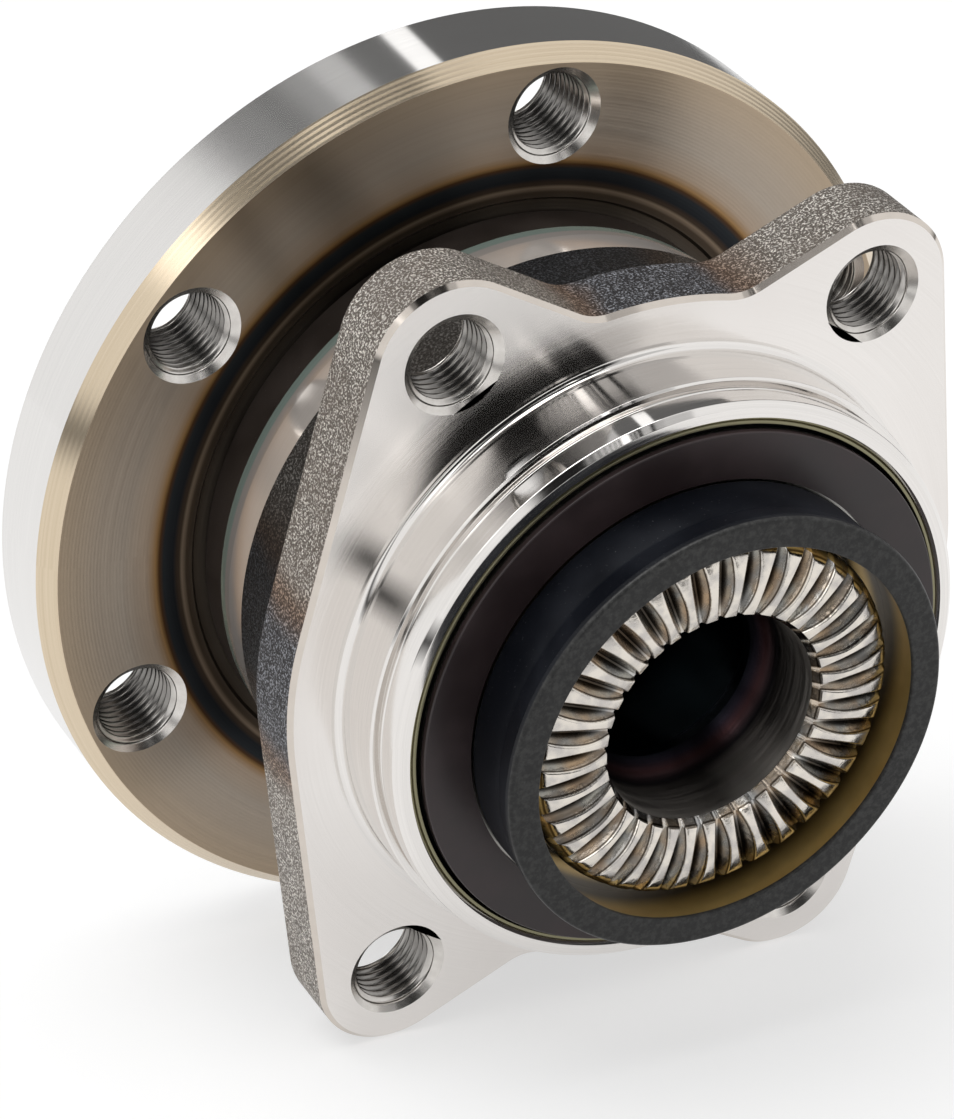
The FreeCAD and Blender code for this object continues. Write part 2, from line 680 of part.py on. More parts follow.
def encoder_ring():
    """Magnetised rubber ring bonded on the slinger's flange."""
    back_y = ENCODER_FACE_Y + ENCODER_THICKNESS
    return turned_polygon([
        (ENCODER_INNER_RADIUS, back_y),
        (ENCODER_OUTER_RADIUS, back_y),
        (ENCODER_OUTER_RADIUS, ENCODER_FACE_Y),
        (ENCODER_INNER_RADIUS, ENCODER_FACE_Y),
    ])


def sleeve_carrier():
    """Thin steel tube that carries the sealing sleeve, pressed on the inner ring."""
    seat_y = ENCODER_FACE_Y + ENCODER_THICKNESS
    return turned_polygon([
        (SEAL_LAND_RADIUS, seat_y),
        (SEAL_LAND_RADIUS + SLEEVE_SHEET, seat_y),
        (SEAL_LAND_RADIUS + SLEEVE_SHEET, SLEEVE_SHEET_END),
        (SEAL_LAND_RADIUS, SLEEVE_SHEET_END),
    ])


def sealing_sleeve():
    """Rubber sleeve around the face spline, with a flared rim and an inner lip."""
    inner = SEAL_LAND_RADIUS + SLEEVE_SHEET
    rim_edge = SLEEVE_RIM_ROUND
    return turned_polygon([
        (inner, ENCODER_FACE_Y),
        (SLEEVE_ROOT_RADIUS, ENCODER_FACE_Y),
        (SLEEVE_ROOT_RADIUS, SLEEVE_RIM_Y + SLEEVE_RIM_FLARE),
        (SLEEVE_RIM_OUTER_RADIUS, SLEEVE_RIM_Y + SLEEVE_RIM_BAND),
        (SLEEVE_RIM_OUTER_RADIUS, SLEEVE_RIM_Y + rim_edge),
        (SLEEVE_RIM_OUTER_RADIUS - rim_edge, SLEEVE_RIM_Y),
        (SLEEVE_RIM_INNER_RADIUS, SLEEVE_RIM_Y),
        (SLEEVE_RIM_INNER_RADIUS, SLEEVE_RIM_Y + rim_edge),
        (SEAL_LAND_RADIUS, SLEEVE_SHEET_END),
        (inner, SLEEVE_SHEET_END),
    ])


def outboard_seal_case():
    """Pressed steel case of the outboard seal."""
    mouth_y = BARREL_END - SEAL_SINK
    floor_y = mouth_y - OUTBOARD_CASE_DEPTH
    return turned_polygon([
        (SEAL_BORE_RADIUS - SEAL_SHEET, mouth_y),
        (SEAL_BORE_RADIUS, mouth_y),
        (SEAL_BORE_RADIUS, floor_y),
        (OUTBOARD_CASE_INNER_RADIUS, floor_y),
        (OUTBOARD_CASE_INNER_RADIUS, floor_y + SEAL_SHEET),
        (SEAL_BORE_RADIUS - SEAL_SHEET, floor_y + SEAL_SHEET),
    ])


def outboard_seal_lips():
    """Rubber of the outboard seal: lip to the hub's land and fender to its flange."""
    floor_y = BARREL_END - SEAL_SINK - OUTBOARD_CASE_DEPTH + SEAL_SHEET
    outer = SEAL_BORE_RADIUS - SEAL_SHEET
    land = HUB_SEAL_LAND_RADIUS + LIP_GAP
    recess_y = FLANGE_FACE + FLANGE_RECESS_DEPTH
    fender_y = recess_y - FENDER_GAP
    over_y = BARREL_END + FENDER_THICKNESS
    lip = LIP_THICKNESS
    return turned_polygon([
        (OUTBOARD_CASE_INNER_RADIUS, floor_y),
        (outer, floor_y),
        (outer, BARREL_END),
        (FENDER_RADIUS, BARREL_END),
        (FENDER_RADIUS, fender_y),
        (FENDER_RADIUS - FENDER_THICKNESS, fender_y),
        (FENDER_RADIUS - FENDER_ROOT_WIDTH, over_y),
        (outer - lip, over_y),
        (outer - lip, floor_y + lip),
        (OUTBOARD_CASE_INNER_RADIUS + lip, floor_y + lip),
        (land + lip, floor_y + LIP_REACH),
        (land, floor_y + LIP_LEAN),
    ])


def parts():
    """Every node of the assembly with its solid."""
    nodes = {
        "outer_ring": outer_ring(),
        "wheel_hub": wheel_hub(),
        "inner_ring": inner_ring(),
        "inboard_cage": cage(INBOARD_ROW_Y, True),
        "outboard_cage": cage(OUTBOARD_ROW_Y, False),
        "inboard_seal_case": inboard_seal_case(),
        "inboard_seal_lips": inboard_seal_lips(),
        "slinger": slinger(),
        "encoder_ring": encoder_ring(),
        "sleeve_carrier": sleeve_carrier(),
        "sealing_sleeve": sealing_sleeve(),
        "outboard_seal_case": outboard_seal_case(),
        "outboard_seal_lips": outboard_seal_lips(),
    }
    rows = {"inboard": INBOARD_ROW_Y, "outboard": OUTBOARD_ROW_Y}
    for row, row_y in rows.items():
        for index in range(BALLS_PER_ROW):
            nodes[f"{row}_ball_{index + 1:02d}"] = ball(row_y, index)
    return nodes


os.makedirs("parts", exist_ok=True)
for name, shape in parts().items():
    if not shape.isValid() or len(shape.Solids) != 1:
        raise ValueError(f"{name} is not one valid solid")
    shape.exportStep(f"parts/{name}.step")
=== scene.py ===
"""Looks of the wheel hub bearing: fine meshes, threads, teeth, finishes and studio.

Sizes are in millimetres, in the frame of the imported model, and become metres where a
mesh is made. The spin axis is Y, and the inboard side looks along -Y.
"""

import math

import bpy
from mathutils import Matrix, Vector
from mathutils.geometry import tessellate_polygon


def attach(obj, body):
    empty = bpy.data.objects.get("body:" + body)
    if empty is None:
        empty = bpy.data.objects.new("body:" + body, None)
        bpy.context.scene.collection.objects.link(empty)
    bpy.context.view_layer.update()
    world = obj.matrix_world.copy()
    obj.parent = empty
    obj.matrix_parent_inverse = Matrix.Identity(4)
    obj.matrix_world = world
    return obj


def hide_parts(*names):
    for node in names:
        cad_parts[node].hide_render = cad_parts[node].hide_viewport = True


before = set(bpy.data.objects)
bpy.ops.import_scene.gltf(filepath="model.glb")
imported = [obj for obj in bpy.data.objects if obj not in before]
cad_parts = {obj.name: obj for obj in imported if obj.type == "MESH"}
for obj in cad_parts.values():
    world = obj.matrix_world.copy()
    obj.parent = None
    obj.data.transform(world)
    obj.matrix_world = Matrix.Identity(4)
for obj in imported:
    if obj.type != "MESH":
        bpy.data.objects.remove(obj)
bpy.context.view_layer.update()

MM = 0.001
TURN = 2 * math.pi

# Knuckle plate
EAR_X = 35.0
EAR_Z = 52.5
EAR_RADIUS = 13.0
PLATE_THICKNESS = 12.0
FLANK_SLOPE = 26.7
VALLEY_ROUND = 8.0
WEB_RADIUS = 57.1
FRONT_CHAMFER = 0.75
REAR_EDGE = 1.2

# Threads: crest and flanks are shares of half a pitch, the sink slopes are radius over
# depth
THREAD_PITCH = 1.5
THREAD_MINOR = 6.2
THREAD_MAJOR = 7.0
THREAD_CREST = 0.14
THREAD_FLANKS = 0.68
THREAD_SINK = 8.0
FRONT_SINK_SLOPE = 1.15
HOLE_SEGMENTS = 56
THREAD_STEP = 0.15

# Spigot and barrel of the outer ring
PILOT_RADIUS = 48.7
PILOT_LENGTH = 9.7
PILOT_EDGE = 0.3
PILOT_ROOT = 50.3
LAND_RADIUS = 47.6
LAND_START = 11.0
LAND_CHAMFER = 0.9
RELIEF_RADIUS = 46.9
SPIGOT_LENGTH = 15.4
SEAL_BORE = 44.8
SEAL_BORE_CHAMFER = 0.4
BARREL_ROOT = 55.2
BARREL_RADIUS = 51.2
GROUND_START = 29.0
GROUND_RADIUS = 50.0
END_START = 36.0
END_RADIUS = 49.6
BARREL_END = 40.2
FACE_DISH_RADIUS = 56.2
FACE_DISH_TILT = 0.07

# Face spline
CROWN_Y = -26.4
CROWN_RADIUS = 23.5
CROWN_OUTER_DROP = 1.0
CROWN_INNER_DROP = 1.1
ROLL_START = 0.82
ROLL_DROP = 0.5
ROLL_REACH = 0.03
ROOT_DEPTH = 2.25
ROOT_TILT = 0.065
ROOT_HALF_WIDTH = 0.17
ROOT_FILLET = 0.05
GROOVE_SLOPE = 30.0
LAND_SOFTNESS = 0.12
TEETH_OUTER = 29.2
TEETH_INNER = 18.3
TEETH_ROWS = 26
TOOTH_COUNT = 37
TOOTH_PHASE = 11.7

# Wheel hub
HEAD_RADIUS = 30.2
HEAD_EDGE_Y = CROWN_Y + 3.6
HEAD_BACK_Y = -19.0
HEAD_BACK_RADIUS = 26.0
SHAFT_RADIUS = 25.0
SHAFT_SHOULDER_Y = 12.5
FUNNEL_RADIUS = 17.5
FUNNEL_MOUTH_Y = CROWN_Y + 2.9
THROAT_RADIUS = 15.0
THROAT_Y = -9.7
CAVITY_RADIUS = 17.0
SCREW_BORE = 8.5
SCREW_SEAT_Y = 16.0
POCKET_FLOOR_Y = 28.0
POCKET_MOUTH = 32.0
COLLAR_RADIUS = 36.0
COLLAR_FACE = 47.0
COLLAR_EDGE = 51.4
FLANGE_FACE = 46.5
FLANGE_BACK = 63.2
FLANGE_RADIUS = 76.1
FLANGE_EDGE = 0.5
FLANGE_CHAMFER_INNER = 73.7
FLANGE_CHAMFER_BACK = 49.3
WHEEL_FACE_INNER = 52.6
WHEEL_RELIEF = 0.6
WHEEL_PILOT_RADIUS = 42.0
WHEEL_PILOT_CHAMFER = 1.5
WHEEL_PILOT_END = FLANGE_BACK + 12.0
WHEEL_HOLES = 6
WHEEL_CIRCLE = 65.0
WHEEL_PHASE = 85.4

# Seals, encoder and sleeve
SEAL_CASE_INNER = 36.6
SEAL_CASE_LIP = 44.0
SEAL_CASE_MOUTH_Y = -SPIGOT_LENGTH + 0.3
ENCODER_INNER = 35.8
ENCODER_OUTER = 43.4
ENCODER_FACE_Y = -16.4
ENCODER_BACK_Y = -15.4
CARRIER_INNER = 33.2
CARRIER_OUTER = 34.0
CARRIER_END_Y = -27.4
SLEEVE_RADIUS = 35.5
SLEEVE_RIM_INNER = 31.6
SLEEVE_RIM_OUTER = 36.4
SLEEVE_END_Y = -29.4
SLEEVE_DUST_Y = -28.6
RIPPLE_START_Y = -22.0
RIPPLE_LENGTH = 6.0
RIPPLE_HEIGHT = 0.08
FENDER_RADIUS = 49.2
FENDER_END_Y = 46.4

LATHE_SEGMENTS = 256
BLEND_STEP = 0.18

# Studio, in metres and degrees
FLOOR_HALF = 3.0
FLOOR_COLOUR = 0.47
FLOOR_GLOW = 0.61
WORLD_LIGHT = 0.35
SKY_STRENGTH = 1.75
SKY_SPREAD = 55
SKY_PLACE = (-0.25, 0.25, 0.9)
SKY_TARGET = (0.0, 0.02, 0.0)
CARD_STEPS = 24
CAMERA_PLACE = (-0.3029, -0.4619, 0.334)
CAMERA_RIGHT = (0.8811, -0.4650, 0.0865)
CAMERA_UP = (0.1709, 0.4834, 0.8586)
CAMERA_LENS = 137.7
CAMERA_SENSOR = 36.0

# Dark and light cards round the part: name, distance, azimuths, elevations, shade, and
# how much of the card fades out at its edges along each
BACK = 1.8
FAR = 1.6
NEARER = 1.5
NEAR = 0.255
CARDS = (
    ("rear_dark", BACK, (-25, 85), (-21, 66), 0.14, 0.02, 0.05),
    ("rear_gap", FAR, (13.5, 18.5), (20, 62), 1.3, 0.12, 0.05),
    ("rear_grey", FAR, (-2.0, 6.0), (20, 62), 0.58, 0.10, 0.05),
    ("rear_pale", FAR, (-8.0, -1.5), (20, 62), 0.32, 0.25, 0.05),
    ("front_edge", BACK, (143, 158), (24, 66), 0.62, 0.10, 0.05),
    ("front_dark", BACK, (156, 214), (5, 80), 0.015, 0.08, 0.03),
    ("front_right", FAR, (157, 162), (42, 56), 0.50, 0.20, 0.10),
    ("front_light", FAR, (163, 168), (42, 56), 0.62, 0.12, 0.06),
    ("front_mid", FAR, (169, 193), (42, 55), 0.17, 0.15, 0.10),
    ("front_line_1", NEARER, (169.6, 170.5), (42, 56), 0.80, 0.25, 0.06),
    ("front_line_2", NEARER, (171.6, 172.5), (42, 56), 0.70, 0.25, 0.06),
    ("front_pale", NEARER, (173.6, 178), (42, 56), 1.8, 0.10, 0.06),
    ("front_line_3", NEARER, (179.2, 180.3), (42, 56), 1.30, 0.25, 0.06),
    ("front_line_4", NEARER, (181.3, 182.5), (42, 56), 1.20, 0.25, 0.06),
    ("front_line_5", NEARER, (183.5, 184.8), (42, 56), 1.10, 0.25, 0.06),
    ("front_line_6", NEARER, (186.0, 187.4), (42, 56), 0.90, 0.25, 0.06),
    ("front_line_7", NEARER, (188.8, 190.4), (42, 55), 0.70, 0.25, 0.06),
    ("front_line_8", NEARER, (192.0, 194.0), (42, 54), 0.45, 0.25, 0.06),
    ("front_glow", FAR, (213, 221), (8, 27), 1.15, 0.25, 0.25),
    ("mouth_glow", FAR, (222, 252), (27, 41), 2.6, 0.25, 0.25),
    ("front_left", FAR, (211, 256), (42, 66), 0.12, 0.05, 0.08),
    ("horizon", NEAR, (200, 285), (-5, 9), 0.09, 0.12, 0.48),
    ("horizon_right", FAR, (100, 160), (-6, 3), 0.45, 0.1, 0.3),
    ("horizon_front", NEAR, (158, 202), (-9, 8), 0.03, 0.12, 0.25),
)


def polar(radius, degrees):
    """Point (x, z) at a radius and an angle from +X towards +Z."""
    turn = math.radians(degrees)
    return radius * math.cos(turn), radius * math.sin(turn)


class Skin:
    """Faces with their exact normals, welded into one mesh."""

    def __init__(self):
        self.points = []
        self.known = {}
        self.faces = []
        self.normals = []
        self.paints = []

    def vertex(self, p):
        key = (round(p[0], 5), round(p[1], 5), round(p[2], 5))
        if key not in self.known:
            self.known[key] = len(self.points)
            self.points.append((p[0] * MM, p[1] * MM, p[2] * MM))
        return self.known[key]

    def face(self, corners, normals, paint):
        """Adds a face, turned so that it looks along its normals."""
        ids = [self.vertex(p) for p in corners]
        kept = [i for i in range(len(ids)) if ids[i] != ids[i - 1]]
        if len(kept) < 3:
            return
        ring = [Vector(corners[i]) for i in kept]
        across = (ring[1] - ring[0]).cross(ring[2] - ring[0])
        if len(ring) == 4:
            across = (ring[2] - ring[0]).cross(ring[3] - ring[1])
        mean = Vector((0, 0, 0))
        for i in kept:
            mean += Vector(normals[i])
        if across.dot(mean) < 0:
            kept.reverse()
        self.faces.append([ids[i] for i in kept])
        self.normals += [tuple(normals[i]) for i in kept]
        self.paints.append(paint)

    def grid(self, rows, normals, paint):
        """Adds quads between rows of points, each row a closed ring."""
        count = len(rows[0])
        for i in range(len(rows) - 1):
            for j in range(count):
                k = (j + 1) % count
                corners = [rows[i][j], rows[i][k], rows[i + 1][k], rows[i + 1][j]]
                facing = [normals[i][j], normals[i][k], normals[i + 1][k], normals[i + 1][j]]
                self.face(corners, facing, paint)

    def rough_grid(self, rows, paint, toward):
        """Adds a grid whose normals come from its own faces, on the side of toward()."""
        count = len(rows[0])
        sums = [[Vector((0, 0, 0)) for _ in row] for row in rows]
        for i in range(len(rows) - 1):
            for j in range(count):
                k = (j + 1) % count
                a, b = Vector(rows[i][j]), Vector(rows[i][k])
                c, d = Vector(rows[i + 1][k]), Vector(rows[i + 1][j])
                n = (c - a).cross(d - b)
                if n.dot(Vector(toward(a))) < 0:
                    n = -n
                for u, v in ((i, j), (i, k), (i + 1, k), (i + 1, j)):
                    sums[u][v] += n
        for row in sums:
            for n in row:
                if n.length > 0:
                    n.normalize()
        self.grid(rows, sums, paint)

    def flat(self, outline, holes, y, side, paint):
        """Adds a flat face at y with holes, looking along side times Y."""
        loops = [[(p[0], y, p[1]) for p in loop] for loop in [outline] + holes]
        flat_loops = [[Vector((p[0], p[1], 0)) for p in loop] for loop in [outline] + holes]
        points = [p for loop in loops for p in loop]
        normal = (0, side, 0)
        for triple in tessellate_polygon(flat_loops):
            self.face([points[i] for i in triple], [normal] * 3, paint)

    def build(self, name, materials):
        mesh = bpy.data.meshes.new(name)
        mesh.from_pydata(self.points, [], self.faces)
        for material in materials:
            mesh.materials.append(material)
        mesh.polygons.foreach_set("material_index", self.paints)
        mesh.polygons.foreach_set("use_smooth", [True] * len(self.faces))
        mesh.normals_split_custom_set(self.normals)
        mesh.update()
        obj = bpy.data.objects.new(name, mesh)
        bpy.context.scene.collection.objects.link(obj)
        return obj


def unit(a, b):
    length = math.hypot(a, b)
    return (a / length, b / length) if length else (0.0, 0.0)


def rounded_profile(corners):
    """Straight and rounded stretches of a profile: (r, y, nr, ny) along each one.

    A corner is (r, y) or (r, y, round). The solid lies to the left of the travel when
    r points right and y points up.
    """
    stretches = []
    start = corners[0][:2]
    for i in range(1, len(corners)):
        here = corners[i]
        before = unit(here[0] - corners[i - 1][0], here[1] - corners[i - 1][1])
        radius = here[2] if len(here) > 2 and i < len(corners) - 1 else 0
        end = here[:2]
        blend = None
        if radius:
            after = unit(corners[i + 1][0] - here[0], corners[i + 1][1] - here[1])
            turn = math.atan2(before[0] * after[1] - before[1] * after[0],
                              before[0] * after[0] + before[1] * after[1])
            reach = radius * math.tan(abs(turn) / 2)
            end = (here[0] - before[0] * reach, here[1] - before[1] * reach)
            sign = 1 if turn > 0 else -1
            centre = (end[0] - sign * radius * before[1], end[1] + sign * radius * before[0])
            steps = max(2, round(abs(turn) / BLEND_STEP))
            blend = []
            for s in range(steps + 1):
                angle = turn * s / steps
                c, q = math.cos(angle), math.sin(angle)
                d = (before[0] * c - before[1] * q, before[0] * q + before[1] * c)
                n = (d[1], -d[0])
                at = (centre[0] + sign * radius * n[0], centre[1] + sign * radius * n[1])
                blend.append(at + n)
        n = (before[1], -before[0])
        stretches.append([start + n, tuple(end) + n])
        start = tuple(end)
        if blend:
            stretches.append(blend)
            start = blend[-1][:2]
    return stretches


def lathe(skin, corners, paint, wave=None):
    """Turns a profile about Y. wave(y, angle) moves the radius of rubber edges."""
    for stretch in rounded_profile(corners):
        rows, facing = [], []
        for r, y, nr, ny in stretch:
            row, normals = [], []
            for j in range(LATHE_SEGMENTS):
                a = TURN * j / LATHE_SEGMENTS
                c, s = math.cos(a), math.sin(a)
                at = r + wave(y, a) if wave else r
                row.append((at * c, y, at * s))
                normals.append((nr * c, ny, nr * s))
            rows.append(row)
            facing.append(normals)
        skin.grid(rows, facing, paint)


def circle(radius, x=0.0, z=0.0, segments=LATHE_SEGMENTS):
    steps = (TURN * j / segments for j in range(segments))
    return [(x + radius * math.cos(a), z + radius * math.sin(a)) for a in steps]


def plate_quadrant():
    """Outline of the plate between +X and +Z: (x, z, nx, nz) for each point."""
    points = []
    reach = math.hypot(EAR_X, EAR_Z)
    ear_angle = math.degrees(math.atan2(EAR_Z, EAR_X))
    upright = ear_angle - math.degrees(math.acos((WEB_RADIUS - EAR_RADIUS) / reach))
    level = 90 + FLANK_SLOPE

    def sweep(cx, cz, radius, first, last, steps, hollow=1):
        for s in range(steps + 1):
            nx, nz = polar(1, first + (last - first) * s / steps)
            points.append((cx + radius * nx, cz + radius * nz, hollow * nx, hollow * nz))

    sweep(0, 0, WEB_RADIUS, 0, upright, 5)
    sweep(EAR_X, EAR_Z, EAR_RADIUS, upright, level, 36)
    lx, lz = polar(1, level)
    distance = lx * EAR_X + lz * EAR_Z + EAR_RADIUS + VALLEY_ROUND
    along = math.sqrt((WEB_RADIUS + VALLEY_ROUND) ** 2 - distance ** 2)
    cx = distance * lx + along * lz
    cz = distance * lz - along * lx
    valley = math.degrees(math.atan2(cz, cx))
    sweep(cx, cz, VALLEY_ROUND, level - 180, valley - 180, 10, -1)
    sweep(0, 0, WEB_RADIUS, valley, 90, 6)
    return points


def plate_outline():
    quadrant = plate_quadrant()
    outline = list(quadrant)
    outline += [(-x, z, -nx, nz) for x, z, nx, nz in reversed(quadrant[:-1])]
    outline += [(-x, -z, -nx, -nz) for x, z, nx, nz in quadrant[1:]]
    outline += [(x, -z, nx, -nz) for x, z, nx, nz in reversed(quadrant[1:-1])]
    return outline


def thread_radius(y, angle):
    """Radius of the female thread, a flattened triangle along its helix."""
    phase = (y / THREAD_PITCH - angle / TURN) % 1.0
    wave = abs(2 * phase - 1)
    wave = min(max((wave - THREAD_CREST) / THREAD_FLANKS, 0.0), 1.0)
    return THREAD_MINOR + (THREAD_MAJOR - THREAD_MINOR) * wave


def threaded_hole(skin, x, z, near, far, paint):
    """Wall of a threaded hole between two faces, with a countersink at each."""
    rows = []
    count = round((far - near) / THREAD_STEP)
    for i in range(count + 1):
        y = near + (far - near) * i / count
        row = []
        for j in range(HOLE_SEGMENTS):
            a = TURN * j / HOLE_SEGMENTS
            front_sink = THREAD_SINK - (y - near) * FRONT_SINK_SLOPE
            r = max(thread_radius(y, a), front_sink, THREAD_SINK - (far - y))
            row.append((x + r * math.cos(a), y, z + r * math.sin(a)))
        rows.append(row)
    skin.rough_grid(rows, paint, lambda p: (x - p[0], 0, z - p[2]))


def make_outer_ring(materials):
    """Paints: 0 forged, 1 turned face, 2 ground spigot, 3 thread, 4 barrel, 5 barrel end,
    6 chamfer."""
    skin = Skin()
    outline = plate_outline()

    def plate_row(inset, y):
        return [(x - nx * inset, y, z - nz * inset) for x, z, nx, nz in outline]

    def facing_row(degrees):
        c, s = math.cos(math.radians(degrees)), math.sin(math.radians(degrees))
        return [(nx * c, s, nz * c) for x, z, nx, nz in outline]

    rows = [plate_row(FRONT_CHAMFER, 0.0), plate_row(0.0, FRONT_CHAMFER)]
    skin.grid(rows, [facing_row(-45)] * 2, 6)
    side = [rows[1]]
    facing = [facing_row(0)]
    steps = 5
    for s in range(steps + 1):
        degrees = 90 * s / steps
        a = math.radians(degrees)
        inset = REAR_EDGE * (1 - math.cos(a))
        side.append(plate_row(inset, PLATE_THICKNESS - REAR_EDGE + REAR_EDGE * math.sin(a)))
        facing.append(facing_row(degrees))
    skin.grid(side, facing, 0)
    ears = [(x, z) for x in (-EAR_X, EAR_X) for z in (-EAR_Z, EAR_Z)]
    holes = [circle(THREAD_SINK, x, z, HOLE_SEGMENTS) for x, z in ears]
    front = [(p[0], p[2]) for p in rows[0]]
    rear = [(p[0], p[2]) for p in side[-1]]
    skin.flat(front, [circle(FACE_DISH_RADIUS)] + holes, 0.0, -1, 1)
    dish = []
    facing = []
    for r, tilt in ((PILOT_ROOT, FACE_DISH_TILT), (FACE_DISH_RADIUS, 0.0)):
        dish.append([(x, 0.0, z) for x, z in circle(r)])
        facing.append([(tilt * x / r, -1.0, tilt * z / r) for x, z in circle(r)])
    skin.grid(dish, facing, 1)
    skin.flat(rear, [circle(BARREL_ROOT)] + holes, PLATE_THICKNESS, 1, 0)
    for x, z in ears:
        threaded_hole(skin, x, z, 0.0, PLATE_THICKNESS, 3)
    lathe(skin, [
        (SEAL_BORE, -SPIGOT_LENGTH + SEAL_BORE_CHAMFER),
        (SEAL_BORE + SEAL_BORE_CHAMFER, -SPIGOT_LENGTH),
        (LAND_RADIUS - LAND_CHAMFER, -SPIGOT_LENGTH, 0.15),
        (LAND_RADIUS, -SPIGOT_LENGTH + LAND_CHAMFER, 0.3),
        (LAND_RADIUS, -LAND_START, 0.2),
        (RELIEF_RADIUS, -LAND_START + 0.4, 0.2),
        (RELIEF_RADIUS, -PILOT_LENGTH, 0.35),
        (PILOT_RADIUS - PILOT_EDGE, -PILOT_LENGTH, 0.1),
        (PILOT_RADIUS, -PILOT_LENGTH + PILOT_EDGE, 0.1),
        (PILOT_RADIUS, 0.0, 1.2),
        (PILOT_ROOT, 0.0),
    ], 2)
    lathe(skin, [
        (BARREL_ROOT, PLATE_THICKNESS),
        (BARREL_RADIUS, PLATE_THICKNESS, 3.8),
        (BARREL_RADIUS, GROUND_START, 0.3),
    ], 0)
    lathe(skin, [
        (BARREL_RADIUS, GROUND_START),
        (GROUND_RADIUS, GROUND_START, 0.3),
        (GROUND_RADIUS, END_START),
    ], 4)
    lathe(skin, [
        (GROUND_RADIUS, END_START),
        (END_RADIUS, END_START),
        (END_RADIUS, BARREL_END, 0.6),
        (SEAL_BORE, BARREL_END),
        (SEAL_BORE, -SPIGOT_LENGTH + SEAL_BORE_CHAMFER),
    ], 5)
    ring = skin.build("ring_fine", materials)
    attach(ring, "outer_ring_body")
    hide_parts("outer_ring")


def crown_height(radius):
    """The y of the tooth lands, domed between the ends of the teeth."""
    if radius > CROWN_RADIUS:
        share = (radius - CROWN_RADIUS) / (TEETH_OUTER - CROWN_RADIUS)
        roll = ROLL_DROP * max(0.0, share - ROLL_START) ** 2 / ROLL_REACH
        return CROWN_Y + CROWN_OUTER_DROP * share ** 2 + roll
    share = (CROWN_RADIUS - radius) / (CROWN_RADIUS - TEETH_INNER)
    return CROWN_Y + CROWN_INNER_DROP * share ** 2


def root_height(radius):
    """The y of the groove roots."""
    return CROWN_Y + ROOT_DEPTH + ROOT_TILT * (radius - CROWN_RADIUS)


def tooth_row(radius):
    """One ring of points across all teeth at a radius, closer at the edges."""
    crown = crown_height(radius)
    root = root_height(radius)
    half_pitch = math.pi * radius / TOOTH_COUNT
    half_top = ROOT_HALF_WIDTH + (root - crown) * math.tan(math.radians(GROOVE_SLOPE))
    half_top = min(half_top, half_pitch - 2 * LAND_SOFTNESS)
    flank = half_top - ROOT_HALF_WIDTH
    across = [0.0, ROOT_HALF_WIDTH * 0.6, ROOT_HALF_WIDTH + ROOT_FILLET]
    heights = [root, root, root - 0.03]
    for share in (0.12, 0.4, 0.7, 0.93):
        across.append(ROOT_HALF_WIDTH + flank * share)
        heights.append(root - (root - crown) * share)
    across += [
        half_top + LAND_SOFTNESS * 0.35,
        half_top + LAND_SOFTNESS * 1.2,
        half_top + (half_pitch - half_top) * 0.6,
    ]
    heights += [crown + 0.05, crown, crown - 0.015]
    row = []
    for tooth in range(TOOTH_COUNT):
        middle = math.radians(TOOTH_PHASE + 360 / TOOTH_COUNT * (tooth + 0.5))
        offsets = [(-u, h) for u, h in zip(reversed(across[1:]), reversed(heights[1:]))]
        offsets += list(zip(across, heights))
        offsets.append((half_pitch, crown - 0.02))
        for u, h in offsets:
            a = middle + u / radius
            row.append((radius * math.cos(a), h, radius * math.sin(a)))
    return row


def teeth(skin, paint):
    """Face spline: radial teeth with V grooves, and the walls at both ends.

    Gives the angles of its columns back, so that what joins it can share them.
    """
    length = TEETH_OUTER - TEETH_INNER
    rows = [tooth_row(TEETH_OUTER - length * i / TEETH_ROWS) for i in range(TEETH_ROWS + 1)]
    skin.rough_grid(rows, paint, lambda p: (0, -1, 0))
    outer = rows[0]
    wall = [outer]
    for share in (0.35, 1.0):
        ring = []
        for p in outer:
            a = math.atan2(p[2], p[0])
            r = TEETH_OUTER + (HEAD_RADIUS - TEETH_OUTER) * math.sqrt(share)
            y = p[1] + (HEAD_EDGE_Y - p[1]) * share
            ring.append((r * math.cos(a), y, r * math.sin(a)))
        wall.append(ring)
    skin.rough_grid(wall, paint, lambda p: (p[0], 0, p[2]))
    inner = rows[-1]
    mouth = []
    for p in inner:
        a = math.atan2(p[2], p[0])
        mouth.append((FUNNEL_RADIUS * math.cos(a), FUNNEL_MOUTH_Y, FUNNEL_RADIUS * math.sin(a)))
    skin.rough_grid([inner, mouth], paint, lambda p: (-p[0], -8, -p[2]))
    return [math.atan2(p[2], p[0]) for p in mouth]


